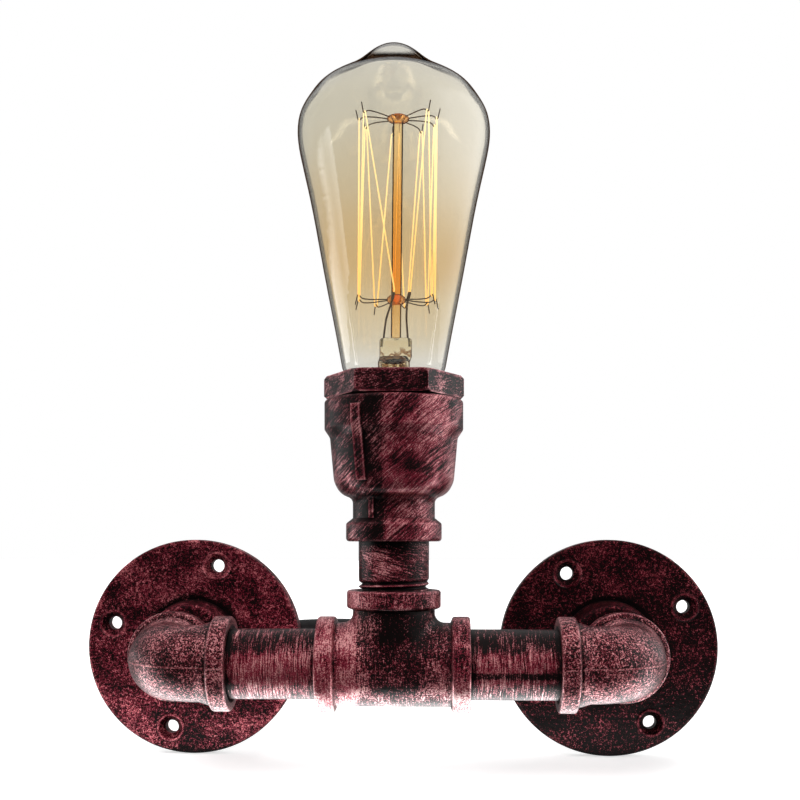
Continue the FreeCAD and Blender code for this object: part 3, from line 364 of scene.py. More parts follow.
    def _near_mask(self, title: str, reach: str, mask: str, inside: bool,
                   limits: Limits) -> Tree:
        """Makes the mask of the outer edges, or of the enclosed corners and grooves, which the rubbed paint
        leaves black, partly bare and partly as painted shade.

        Args:
            title: The group's name.
            reach: The name of its input, how far it looks.
            mask: The name of its output.
            inside: Whether it looks into the metal, which finds edges, or out of it, which finds corners.
            limits: How open the place is where the mask is 0 and 1.

        Returns:
            The group.
        """
        sketch, given, out = self._start(title, {reach: "NodeSocketFloat"}, {mask: "NodeSocketFloat"})
        openness = sketch.put(
            "ShaderNodeAmbientOcclusion", {"Distance": given.outputs[reach]},
            samples=self.shade_samples, inside=inside)
        sketch.fill(out, {mask: sketch.step(openness.outputs["AO"], *limits)})
        return sketch.tree

    def _cast_grain(self) -> Tree:
        """Makes the height of the sand cast grain with its dents and few pits.

        Returns:
            The group.
        """
        sketch, given, out = self._start(
            "cast grain", {"Place": "NodeSocketVector", "Fineness": "NodeSocketFloat"},
            {"Height": "NodeSocketFloat"})
        place, fineness = given.outputs[:2]
        grain = sketch.noise(place, fineness, detail=4.0, rough=0.62)
        dents = sketch.noise(place, self.dent_scale, detail=1.0)
        pits = sketch.put("ShaderNodeTexVoronoi", {"Vector": place, "Scale": self.pit_scale}, feature="F1")
        pitted = sketch.product(sketch.step(pits.outputs["Distance"], *self.pit_limits), self.pit_share)
        dented = sketch.product(dents, self.dent_share)
        sketch.fill(out, {"Height": sketch.total(grain, dented, pitted)})
        return sketch.tree


def new_material(title: str) -> Tuple[Material, NodeSketch, Node]:
    """Starts a material.

    Args:
        title: Its name.

    Returns:
        The material, a sketch of its tree and its Principled shader.
    """
    material = bpy.data.materials.new(title)
    material.use_nodes = True
    return material, NodeSketch(material.node_tree), material.node_tree.nodes["Principled BSDF"]


@dataclass(frozen=True)
class PaintBand:
    """A band or side of a casting, in millimetres, that took more or less of the paint."""

    axis: Axis
    low: float
    high: float
    soft: float
    gain: float
    ragged: float = 0.0

    def extra(self, sketch: NodeSketch, place: Socket, uneven: Socket) -> Socket:
        """Works out what the band adds to the paint's cover.

        Args:
            sketch: The material's sketch.
            place: The place on the light.
            uneven: The noise that makes its limits ragged.

        Returns:
            The gain inside the band and 0 outside it.
        """
        where = sketch.along(place, self.axis)
        if self.ragged:
            where = sketch.total(where, sketch.product(uneven, self.ragged))
        return sketch.product(sketch.band(where, self.low, self.high, self.soft), self.gain)


@dataclass(frozen=True)
class RubbedPaint:
    """Red paint rubbed over a black casting, thick on its edges; its corners show black, partly bare of
    paint and partly as painted shade.
    """

    title: str
    lay: Lay
    cover: float = 0.0
    bands: Tuple[PaintBand, ...] = ()
    lean_deg: float = 0.0
    stroke_width: float = 0.2
    stroke_length: float = 7.0
    streaking: float = 0.75
    patches: float = 0.8
    grit: float = 0.5
    edge_gain: float = 0.42
    edge_width: float = 0.9
    bare_and_shaded_corners: float = 0.45
    recess_reach: float = 2.5
    uneven_scale: float = 0.22
    grain_fineness: float = 1.6
    grain_depth: float = 0.05
    bristle_depth: float = 0.05
    gloss: float = 1.0
    specular: float = 0.2
    lacquer: float = 0.8
    lacquer_roughness: float = 0.30
    metal_share: float = 0.40
    roughness: Limits = (0.28, 0.34)
    ground: Colour = (0.006, 0.004, 0.004)
    wash: Colour = (0.060, 0.002, 0.008)
    paint: Colour = (0.36, 0.019, 0.050)
    bloom: Colour = (0.95, 0.44, 0.44)
    # painted reflection: the pale colour of the thickest paint on an underside, for the lit floor seen in
    # its gloss
    floor_gloss_colour: Colour = (1.0, 0.74, 0.72)
    floor_gloss_below: Optional[float] = None
    floor_gloss_fade: float = 5.0

    def material(self, groups: EffectGroups) -> Material:
        """Makes the paint.

        Args:
            groups: The shared effects.

        Returns:
            The material.
        """
        material, sketch, shader = new_material(self.title)
        place = sketch.millimetres()
        squeeze = self.stroke_width / self.stroke_length
        rubbed = sketch.group(
            groups.rubbed, Place=place, Lean=math.radians(self.lean_deg),
            Stretch=tuple(squeeze if long else 1.0 for long in self.lay.value),
            Fineness=1 / (2 * self.stroke_width), Streaking=self.streaking, Patches=self.patches,
            Grit=self.grit)
        coat = sketch.group(
            groups.coat, Pigment=rubbed.outputs["Pigment"], Cover=self._cover(sketch, place, groups),
            Ground=self.ground, Wash=self.wash, Paint=self.paint, Bloom=self._bloom(sketch, place))
        thick = coat.outputs["Thickness"]
        grain = sketch.group(groups.grain, Place=place, Fineness=self.grain_fineness).outputs["Height"]
        strokes = sketch.total(rubbed.outputs["Bristle"], thick)
        cast = sketch.bump(grain, self.grain_depth)
        sketch.fill(shader, {
            "Base Color": coat.outputs["Colour"],
            "Metallic": sketch.span(thick, 0.0, self.metal_share),
            "Specular IOR Level": self.specular * self.gloss,
            "Coat Weight": sketch.span(thick, 0.0, self.lacquer * self.gloss),
            "Coat Roughness": self.lacquer_roughness,
            "Roughness": sketch.span(thick, *self.roughness),
            "Normal": sketch.bump(strokes, self.bristle_depth, cast),
        })
        return material

    def _cover(self, sketch: NodeSketch, place: Socket, groups: EffectGroups) -> Socket:
        """Works out how much of the paint shows at each place, with painted shade in the corners and in
        some bands.

        Args:
            sketch: The material's sketch.
            place: The place on the light.
            groups: The shared effects.

        Returns:
            The cover.
        """
        edges = sketch.group(groups.edges, Width=self.edge_width * MM).outputs["Edges"]
        # the recess mask takes the paint off enclosed corners: partly bare black, partly painted shade
        recess = sketch.group(groups.recess, Reach=self.recess_reach * MM).outputs["Recess"]
        uneven = sketch.centred(sketch.noise(place, self.uneven_scale))
        return sketch.total(
            self.cover, sketch.product(edges, self.edge_gain), sketch.product(recess, -self.bare_and_shaded_corners),
            *(band.extra(sketch, place, uneven) for band in self.bands))

    def _bloom(self, sketch: NodeSketch, place: Socket) -> Feed:
        """Gives the colour of the thickest paint, paler on the underside as a painted reflection of the lit
        floor.

        Args:
            sketch: The material's sketch.
            place: The place on the light.

        Returns:
            The colour.
        """
        if self.floor_gloss_below is None:
            return self.bloom
        height = sketch.along(place, Axis.UP)
        below = sketch.step(height, self.floor_gloss_below, self.floor_gloss_below - self.floor_gloss_fade)
        return sketch.blend(below, self.bloom, self.floor_gloss_colour)


@dataclass(frozen=True)
class WorkedMetal:
    """Bare metal with fine tooling marks, duller and darker in patches."""

    title: str
    colour: Colour
    tarnish: Colour
    roughness: float = 0.28
    polish: float = 0.08
    wear: float = 0.14
    fineness: float = 1.4
    depth: float = 0.01
    mark_stretch: Point = (0.4, 0.4, 6.0)
    dull_scale: float = 0.5
    dull_limits: Limits = (0.45, 0.65)
    dull_share: float = 0.5
    recess_reach: float = 1.2

    def material(self, groups: EffectGroups) -> Material:
        """Makes the metal.

        Args:
            groups: The shared effects.

        Returns:
            The material.
        """
        material, sketch, shader = new_material(self.title)
        place = sketch.millimetres()
        marks = sketch.noise(sketch.scaled(place, self.mark_stretch), self.fineness)
        clouds = sketch.noise(place, self.dull_scale, detail=3.0, rough=0.6)
        dull = sketch.product(sketch.step(clouds, *self.dull_limits), self.dull_share)
        recess = sketch.group(groups.recess, Reach=self.recess_reach * MM).outputs["Recess"]
        stain = sketch.calc("MAXIMUM", dull, recess)
        sketch.fill(shader, {
            "Base Color": sketch.blend(stain, self.colour, self.tarnish),
            "Metallic": 1.0,
            "Roughness": sketch.span(marks, self.roughness - self.polish, self.roughness + self.wear),
            "Normal": sketch.bump(marks, self.depth),
        })
        return material


@dataclass(frozen=True)
class MouldedStuff:
    """Glazed ceramic, pressed fibre or plastic: one colour with clouding and a fine grain."""

    title: str
    colour: Colour
    clouding: Colour
    roughness: float
    fineness: float = 1.0
    depth: float = 0.02
    unevenness: float = 0.05
    cloud_fineness: float = 0.4
    cloud_limits: Limits = (0.35, 0.7)

    def material(self, groups: EffectGroups) -> Material:
        """Makes the moulded stuff.

        Args:
            groups: The shared effects.

        Returns:
            The material.
        """
        material, sketch, shader = new_material(self.title)
        place = sketch.millimetres()
        grain = sketch.group(groups.grain, Place=place, Fineness=self.fineness).outputs["Height"]
        clouds = sketch.noise(place, self.fineness * self.cloud_fineness, detail=3.0)
        cloud = sketch.step(clouds, *self.cloud_limits)
        rough = sketch.span(grain, self.roughness - self.unevenness, self.roughness + self.unevenness)
        sketch.fill(shader, {
            "Base Color": sketch.blend(cloud, self.colour, self.clouding),
            "Roughness": rough,
            "Normal": sketch.bump(grain, self.depth),
        })
        return material


@dataclass(frozen=True)
class TintedGlass:
    """Clear glass whose tint changes with height, as (height in mm, colour) stops, with a painted dark
    outline where it is seen edge on.

    A painted highlight makes its upper right side paler. Below the height swirl, dark veins run through it.
    """

    title: str
    stops: Tuple[Tuple[float, Colour], ...]
    rim: Colour
    rim_from: float = 0.74
    rim_to: float = 0.94
    bending: float = 1.45
    coat: float = 0.0
    coat_roughness: float = 0.02
    painted_highlight: float = 0.0
    pale: Colour = (1.0, 0.97, 0.90)
    highlight_across: Limits = (-5.0, 30.0)
    highlight_up: Limits = (122.0, 150.0)
    swirl: float = 0.0
    swirl_scale: float = 0.30
    swirl_fade: float = 1.5
    vein_limits: Limits = (0.045, 0.012)
    glow: Colour = (0.0, 0.0, 0.0)
    painted_glow_strength: float = 0.0

    def material(self) -> Material:
        """Makes the glass, which lets the light through to what lies behind it.

        Returns:
            The material.
        """
        material, sketch, shader = new_material(self.title)
        colour = self._tint(sketch)
        sketch.fill(shader, {
            "Base Color": colour,
            "Roughness": 0.0,
            "IOR": self.bending,
            "Transmission Weight": 1.0,
            "Coat Weight": self.coat,
            "Coat Roughness": self.coat_roughness,
        })
        # painted light: a faint glow on glass, which is no lamp, for the filament's light
        if self.painted_glow_strength:
            sketch.fill(shader, {"Emission Color": self.glow, "Emission Strength": self.painted_glow_strength})
        # painted shade: a dark outline where the glass is seen edge on, for the dark room seen through its
        # edges
        facing = sketch.put("ShaderNodeLayerWeight").outputs["Facing"]
        edge_on = sketch.step(facing, self.rim_from, self.rim_to)
        dark = sketch.put("ShaderNodeBsdfTransparent", {"Color": self.rim})
        outlined = sketch.layered(edge_on, shader.outputs[0], dark.outputs[0])
        clear = sketch.put("ShaderNodeBsdfTransparent", {"Color": colour})
        shadow = sketch.put("ShaderNodeLightPath").outputs["Is Shadow Ray"]
        surface = sketch.layered(shadow, outlined, clear.outputs[0])
        sketch.finish(surface)
        return material

    def _tint(self, sketch: NodeSketch) -> Feed:
        """Works out the colour of the glass at each place.

        Args:
            sketch: The material's sketch.

        Returns:
            The colour.
        """
        place = sketch.millimetres()
        height = sketch.along(place, Axis.UP)
        colour: Feed = self.stops[0][1]
        for (low, _), (high, tint) in zip(self.stops, self.stops[1:]):
            colour = sketch.blend(sketch.step(height, low, high), colour, tint)
        # painted highlight: the upper right side turns paler, for a bright lamp reflected there
        if self.painted_highlight:
            side = sketch.product(
                sketch.step(sketch.along(place, Axis.ACROSS), *self.highlight_across),
                sketch.step(height, *self.highlight_up), self.painted_highlight)
            colour = sketch.blend(side, colour, self.pale)
        if self.swirl:
            eddies = sketch.centred(sketch.noise(place, self.swirl_scale, detail=1.0))
            veins = sketch.product(
                sketch.step(sketch.calc("ABSOLUTE", eddies), *self.vein_limits),
                sketch.step(height, self.swirl, self.swirl - self.swirl_fade))
            colour = sketch.blend(veins, colour, self.rim)
        return colour


@dataclass(frozen=True)
class GlowingWire:
    """The lit filament, hotter above than where the lower hooks cool it."""

    title: str
    hot: Colour
    warm: Colour
    heat_limits: Limits
    strength: float = 1.0
    roughness: float = 0.5
    uneven_scale: float = 0.12
    uneven_reach: float = 14.0

    def material(self) -> Material:
        """Makes the lit wire.

        Returns:
            The material.
        """
        material, sketch, shader = new_material(self.title)
        place = sketch.millimetres()
        uneven = sketch.product(sketch.noise(place, self.uneven_scale, detail=1.0), self.uneven_reach)
        height = sketch.total(sketch.along(place, Axis.UP), uneven)
        colour = sketch.blend(sketch.step(height, *self.heat_limits), self.warm, self.hot)
        sketch.fill(shader, {
            "Base Color": colour,
            "Roughness": self.roughness,
            "Emission Color": colour,
            "Emission Strength": self.strength,
        })
        return material


def dress(node: str, material: Material) -> None:
    """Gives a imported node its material.

    Args:
        node: The node's name.
        material: Its finish.
    """
    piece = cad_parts[node]
    if not piece.material_slots:
        piece.data.materials.append(material)
    for place in piece.material_slots:
        place.material = material
    LOG.info("%s dressed with %s", node, material.name)


def soft_tube(title: str, route: Sequence[Point], diameter: float, material: Material,
              corner_pull: float = 1.0) -> bpy.types.Object:
    """Makes a wire or cable as a tube round one smooth spline.

    Args:
        title: The piece's name.
        route: The spline's control points, in millimetres.
        diameter: The tube's diameter, in millimetres.
        material: Its finish.
        corner_pull: How strongly the points between the ends draw the spline towards them.

    Returns:
        The curve object.
    """
    curve = bpy.data.curves.new(title, "CURVE")
    curve.dimensions = "3D"
    curve.resolution_u = TUBE_STEPS
    curve.bevel_depth = diameter / 2 * MM
    curve.bevel_resolution = TUBE_SIDES
    curve.use_fill_caps = True
    spline = curve.splines.new("NURBS")
    spline.points.add(len(route) - 1)
    for index, (point, (x, y, z)) in enumerate(zip(spline.points, route)):
        inner = 0 < index < len(route) - 1
        point.co = (x * MM, y * MM, z * MM, corner_pull if inner else 1.0)
    spline.order_u = QUADRATIC
    spline.use_endpoint_u = True
    curve.materials.append(material)
    tube = bpy.data.objects.new(title, curve)
    bpy.context.scene.collection.objects.link(tube)
    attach(tube, "root")
    LOG.info("%s laid along %d points", title, len(route))
    return tube


@dataclass(frozen=True)
class SoftLamp:
    """A far lamp with a wide disc, which lights the object and doesn't show in its gloss or glass."""

    title: str
    tilt_deg: float
    turn_deg: float
    strength: float
    disc_deg: float

    def hang(self) -> None:
        """Hangs the lamp."""
        data = bpy.data.lights.new(self.title, "SUN")
        data.energy = self.strength
        data.angle = math.radians(self.disc_deg)
        lamp = bpy.data.objects.new(self.title, data)
        lamp.visible_glossy = False
        lamp.visible_transmission = False
        lamp.rotation_euler = (math.radians(self.tilt_deg), 0.0, math.radians(self.turn_deg))
        bpy.context.scene.collection.objects.link(lamp)


@dataclass(frozen=True)
class Panel:
    """A panel of the world that shows only in gloss, by the unit vector that points at it.

    Two numbers are where a slope starts and ends. Three are a band's limits and the width of its slopes.
    """

    glow: float
    across: Tuple[float, ...] = ()
    deep: Tuple[float, ...] = ()
    up: Tuple[float, ...] = ()

    def light(self, sketch: NodeSketch, way: Socket) -> Socket:
        """Works out how much light comes from the panel.

        Args:
            sketch: The world's sketch.
            way: The direction that is looked at.

        Returns:
            The strength of the light.
        """
        level: Feed = self.glow
        for axis, limits in zip(Axis, (self.across, self.deep, self.up)):
            if limits:
                mask = sketch.step if len(limits) == 2 else sketch.band
                level = sketch.product(level, mask(sketch.along(way, axis), *limits))
        return level


@dataclass
class Studio:
    """The plain pale studio: camera, floor, backdrop and soft light.

    The strips of the floor are given by their depth, in millimetres.
    """

    eye: Point = (0.01384, -0.3788, 0.0387)
    turn: float = 0.037
    lens: float = 48.2
    sensor: float = 36.0
    rise: float = 0.1705
    clip: Limits = (0.01, 20.0)
    floor_level: float = -0.0377
    floor_half: float = 3.0
    floor_colour: Colour = (0.80, 0.80, 0.80)
    floor_light: float = 0.62
    floor_roughness: float = 0.9
    floor_glow: float = 0.04
    under_front: Limits = (-82.0, -64.0)
    under_rear: Limits = (5.0, -40.0)
    under_glow: float = 4.6
    rear_strip: Limits = (-90.0, -40.0)
    rear_glow: float = 0.26
    room_glow: float = 0.02
    panels: Tuple[Panel, ...] = (
        Panel(glow=0.20, deep=(-0.10, 0.50)),
        Panel(glow=0.35, up=(0.30, 0.90)),
        Panel(glow=0.10, across=(-0.60, -0.85), deep=(-0.75, -0.35)),
        Panel(glow=1.3, across=(0.50, 0.85), deep=(-0.80, -0.30), up=(-0.10, 0.75, 0.30)),
        Panel(glow=2.6, across=(-1.0, -0.80, 0.04), deep=(-0.26, -0.20), up=(-0.20, 0.08, 0.05)),
    )
    lamps: Tuple[SoftLamp, ...] = (
        SoftLamp("key", tilt_deg=46.0, turn_deg=-32.0, strength=1.95, disc_deg=30.0),
        SoftLamp("fill", tilt_deg=64.0, turn_deg=48.0, strength=0.45, disc_deg=60.0),
        SoftLamp("back", tilt_deg=60.0, turn_deg=170.0, strength=1.0, disc_deg=60.0),
    )

    def build(self) -> None:
        """Builds the whole studio."""
        self._camera()
        self._world()
        self._floor()
        for lamp in self.lamps:
            lamp.hang()
        LOG.info("studio built with %d lamps", len(self.lamps))

    def _camera(self) -> None:
        """Stands the camera where the photograph was taken from."""
        data = bpy.data.cameras.new("camera")
        data.lens = self.lens
        data.sensor_width = self.sensor
        data.shift_y = self.rise
        data.clip_start, data.clip_end = self.clip
        camera = bpy.data.objects.new("camera", data)
        camera.location = self.eye
        camera.rotation_euler = (math.radians(90), 0.0, self.turn)
        bpy.context.scene.collection.objects.link(camera)
        bpy.context.scene.camera = camera

    def _world(self) -> None:
        """Makes a backdrop that is white to look at, with bright panels and a dark front for the gloss."""
        world = bpy.data.worlds.new("studio")
        world.use_nodes = True
        bpy.context.scene.world = world
        sketch = NodeSketch(world.node_tree)
        way = sketch.put("ShaderNodeTexCoord").outputs["Generated"]
        level = sketch.total(self.room_glow, *(panel.light(sketch, way) for panel in self.panels))
        paths = sketch.put("ShaderNodeLightPath").outputs
        plain = sketch.calc("MAXIMUM", paths["Is Camera Ray"], paths["Is Transmission Ray"])
        strength = sketch.blend(plain, level, 1.0, Mixed.NUMBERS)
        sketch.fill(world.node_tree.nodes["Background"], {"Color": (1.0, 1.0, 1.0), "Strength": strength})

    def _floor(self) -> None:
        """Lays the pale floor, which looks white and keeps a soft shadow."""
        mesh = bpy.data.meshes.new("floor")
        half = self.floor_half
        corners = ((-half, -half), (half, -half), (half, half), (-half, half))
        mesh.from_pydata([(x, y, self.floor_level) for x, y in corners], [], [(0, 1, 2, 3)])
        material, sketch, shader = new_material("pale floor")
        sketch.fill(shader, {
            "Base Color": self.floor_colour,
            "Roughness": self.floor_roughness,
            "Specular IOR Level": 0.0,
            "Emission Color": (1.0, 1.0, 1.0),
            "Emission Strength": self.floor_light,
        })
        paths = sketch.put("ShaderNodeLightPath").outputs
        deep = sketch.along(sketch.millimetres(), Axis.DEEP)
        under = sketch.product(
            sketch.step(deep, *self.under_front), sketch.step(deep, *self.under_rear), self.under_glow)
        rear = sketch.product(sketch.step(deep, *self.rear_strip), self.rear_glow)
        shine = sketch.total(self.floor_glow, rear, sketch.product(under, paths["Is Glossy Ray"]))
        strength = sketch.calc("MAXIMUM", shine, paths["Is Transmission Ray"])
        glow = sketch.put("ShaderNodeEmission", {"Strength": strength})
        surface = sketch.layered(paths["Is Camera Ray"], glow.outputs[0], shader.outputs[0])
        sketch.finish(surface)
        mesh.materials.append(material)
        floor = bpy.data.objects.new("floor", mesh)
        bpy.context.scene.collection.objects.link(floor)


@dataclass
class WallSide:
    """The flanges on the wall with the nipples, elbows and short pipes that they carry."""

    groups: EffectGroups
    pipe_edge: float = 20.0
    dark_from: float = 5.5
    bright_strip: Limits = (-5.0, 4.0)
    # painted dark reflection of the room along the right pipe's middle
    dark_reflection_strip: Limits = (-3.2, -1.4)
    # height below which the pipes' thickest paint turns pale, a painted reflection of the floor
    floor_gloss_below: float = -2.5
    right_cover: float = -0.06

    def dress(self) -> None:
        """Paints every fitting of the two wall sides."""
        elbow = RubbedPaint(
            "rubbed red on a cast elbow", Lay.DABBED, cover=-0.03, streaking=0.25, stroke_width=0.3,
            patches=0.5, grain_depth=0.14, grain_fineness=1.2).material(self.groups)
        for side in Side:
            dress("wall_flange_" + side.value, self._flange(side))
            dress("elbow_" + side.value, elbow)
            pipe = self._pipe(side)
            dress("pipe_" + side.value, pipe)
            dress("flange_nipple_" + side.value, pipe)

    def _flange(self, side: Side) -> Material:
        """Makes the paint of one flange; the right one is darker, and darkest at its foot and far side.

        Args:
            side: Which flange it is.

        Returns:
            The material.
        """
        full = RubbedPaint(
            "rubbed red on the left flange", Lay.DABBED, cover=-0.02, streaking=0.8, stroke_width=0.55,
            patches=0.5, recess_reach=4.0, grain_depth=0.10, gloss=0.3, wash=(0.030, 0.002, 0.005),
            paint=(0.23, 0.012, 0.034), bloom=(0.80, 0.25, 0.27))
        if side is Side.LEFT:
            return full.material(self.groups)
        darker_copy = replace(
            full, title="rubbed red on the right flange", cover=-0.06, patches=0.35, bands=(
                PaintBand(Axis.UP, low=-60.0, high=-10.0, soft=14.0, gain=-0.06, ragged=6.0),
                PaintBand(Axis.ACROSS, low=88.0, high=120.0, soft=14.0, gain=-0.04, ragged=6.0),
            ), wash=(0.022, 0.001, 0.004), paint=(0.14, 0.006, 0.018), bloom=(0.50, 0.12, 0.14))
        return darker_copy.material(self.groups)

    def _pipe(self, side: Side) -> Material:
        """Makes the paint of one pipe, streaked round it and dark on top, with a painted dark reflection
        along the right pipe's middle and a painted reflection of the floor below.

        Args:
            side: Which pipe it is.

        Returns:
            The material.
        """
        bands = [
            PaintBand(Axis.UP, self.dark_from, self.pipe_edge, soft=5.0, gain=-0.10, ragged=4.0),
            PaintBand(Axis.UP, *self.bright_strip, soft=2.0, gain=0.10, ragged=3.0),
            PaintBand(Axis.UP, -self.pipe_edge, self.bright_strip[0], soft=2.0, gain=0.01, ragged=3.0),
        ]
        cover = 0.0
        if side is Side.RIGHT:
            cover = self.right_cover
            # painted dark reflection of the room along the right pipe's middle
            bands.append(PaintBand(Axis.UP, *self.dark_reflection_strip, soft=0.9, gain=-0.22))
        return RubbedPaint(
            "rubbed red round the %s pipe" % side.value, Lay.ROUND_THE_RUN, cover=cover,
            bands=tuple(bands), stroke_length=4.0, streaking=0.9, patches=0.4, grain_depth=0.04,
            bristle_depth=0.06, floor_gloss_below=self.floor_gloss_below).material(self.groups)


@dataclass
class Column:
    """The tee with its riser, reducing socket and hexagon bushing."""

    groups: EffectGroups
    beyond: float = 40.0
    red_arm_end: float = -10.6
    dark_middle_end: float = 14.0
    right_collar: float = 17.0
    tee_bottom: float = -20.0
    # height below which the tee's thickest paint turns pale, a painted reflection of the floor
    tee_floor_gloss_below: float = -4.0
    neck_low: float = 50.5
    bowl_low: float = 57.5
    socket_collar: float = 77.0

    def dress(self) -> None:
        """Paints every fitting of the column."""
        riser = RubbedPaint(
            "rubbed red on the riser", Lay.LEVEL, cover=-0.06, lean_deg=-14.0, stroke_width=0.16,
            stroke_length=2.4, patches=0.7)
        bushing = RubbedPaint(
            "rubbed red on the hexagon bushing", Lay.LEVEL, cover=-0.11, lean_deg=16.0,
            stroke_length=2.6, streaking=0.65)
        dress("tee", self._tee().material(self.groups))
        dress("riser_nipple", riser.material(self.groups))
        dress("reducing_socket", self._socket().material(self.groups))
        dress("hex_bushing", bushing.material(self.groups))

    def _tee(self) -> RubbedPaint:
        """Chooses the tee's paint: a red left arm, a dark middle, worn collars, a painted shadow under the
        top collar, and an underside with more paint and a painted reflection of the floor.

        Returns:
            The finish.
        """
        return RubbedPaint(
            "rubbed red on the cast tee", Lay.ROUND_THE_RUN, bands=(
                PaintBand(Axis.ACROSS, -self.beyond, self.red_arm_end, soft=1.0, gain=0.17, ragged=1.5),
                PaintBand(Axis.ACROSS, self.red_arm_end, self.dark_middle_end, soft=3.0, gain=-0.08,
                          ragged=2.0),
                PaintBand(Axis.UP, low=17.6, high=30.0, soft=1.0, gain=0.07),
                # painted shadow on the branch just under the top collar
                PaintBand(Axis.UP, low=8.0, high=17.0, soft=4.0, gain=-0.06, ragged=4.0),
                PaintBand(Axis.UP, self.tee_bottom, high=-7.5, soft=2.0, gain=0.05, ragged=3.0),
                PaintBand(Axis.ACROSS, self.right_collar, self.beyond, soft=1.0, gain=0.04),
            ), stroke_length=2.6, streaking=0.55, patches=0.6, grain_depth=0.10, recess_reach=4.0,
            floor_gloss_below=self.tee_floor_gloss_below)

    def _socket(self) -> RubbedPaint:
        """Chooses the socket's paint: long strokes, dark left of the rib, a painted shadow just right of
        it, red on the right and the bowl.

        Returns:
            The finish.
        """
        return RubbedPaint(
            "rubbed red on the reducing socket", Lay.LEVEL, cover=-0.02, lean_deg=40.0, bands=(
                PaintBand(Axis.ACROSS, -self.beyond, high=-8.0, soft=3.0, gain=-0.08, ragged=4.0),
                # painted shadow just right of the rib
                PaintBand(Axis.ACROSS, low=-8.0, high=-2.5, soft=2.5, gain=-0.17, ragged=4.0),
                PaintBand(Axis.ACROSS, 5.0, self.beyond, soft=6.0, gain=0.06, ragged=8.0),
                PaintBand(Axis.UP, self.socket_collar, high=90.0, soft=1.0, gain=-0.02),
                PaintBand(Axis.UP, self.bowl_low, self.socket_collar, soft=2.0, gain=0.03, ragged=3.0),
                PaintBand(Axis.UP, self.neck_low, self.bowl_low, soft=2.0, gain=0.12, ragged=3.0),
                PaintBand(Axis.UP, low=37.0, high=43.0, soft=1.0, gain=0.04),
            ), stroke_width=0.16, stroke_length=6.0, streaking=0.9, recess_reach=4.0)


@dataclass
class Lampholder:
    """The ceramic lampholder inside the socket, with its metal parts."""

    groups: EffectGroups
    spring_seat: float = 49.8
    spring_keep: float = 0.834

    def dress(self) -> None:
        """Gives the lampholder's pieces their ceramic, fibre and metal."""
        ceramic = MouldedStuff(
            "glazed ceramic", (0.80, 0.77, 0.70), (0.72, 0.68, 0.60), roughness=0.22, fineness=0.6)
        fibre = MouldedStuff(
            "pressed fibre", (0.10, 0.035, 0.014), (0.14, 0.055, 0.024), roughness=0.75, fineness=2.4,
            depth=0.06)
        brass = WorkedMetal("contact brass", (0.72, 0.48, 0.17), (0.30, 0.17, 0.06))
        steel = WorkedMetal("spring steel", (0.52, 0.52, 0.54), (0.22, 0.21, 0.21), roughness=0.24)
        dress("holder_body", ceramic.material(self.groups))
        dress("holder_gasket", fibre.material(self.groups))
        finish = brass.material(self.groups)
        for node in ("screw_shell", "centre_contact", "live_terminal", "neutral_terminal", "earth_ring"):
            dress(node, finish)
        self._spring(steel.material(self.groups))

    def _spring(self, material: Material) -> None:
        """Makes a copy of the coil spring with its own mesh and finish, in place of the imported one.

        Args:
            material: The spring's finish.
        """
        coil = bpy.data.objects.new("sprung_coil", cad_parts["contact_spring"].data.copy())
        bpy.context.scene.collection.objects.link(coil)
        coil.data.materials.clear()
        coil.data.materials.append(material)
        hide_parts("contact_spring")
        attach(coil, "root")
        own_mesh(coil)
        LOG.info("%s dressed with %s", coil.name, material.name)


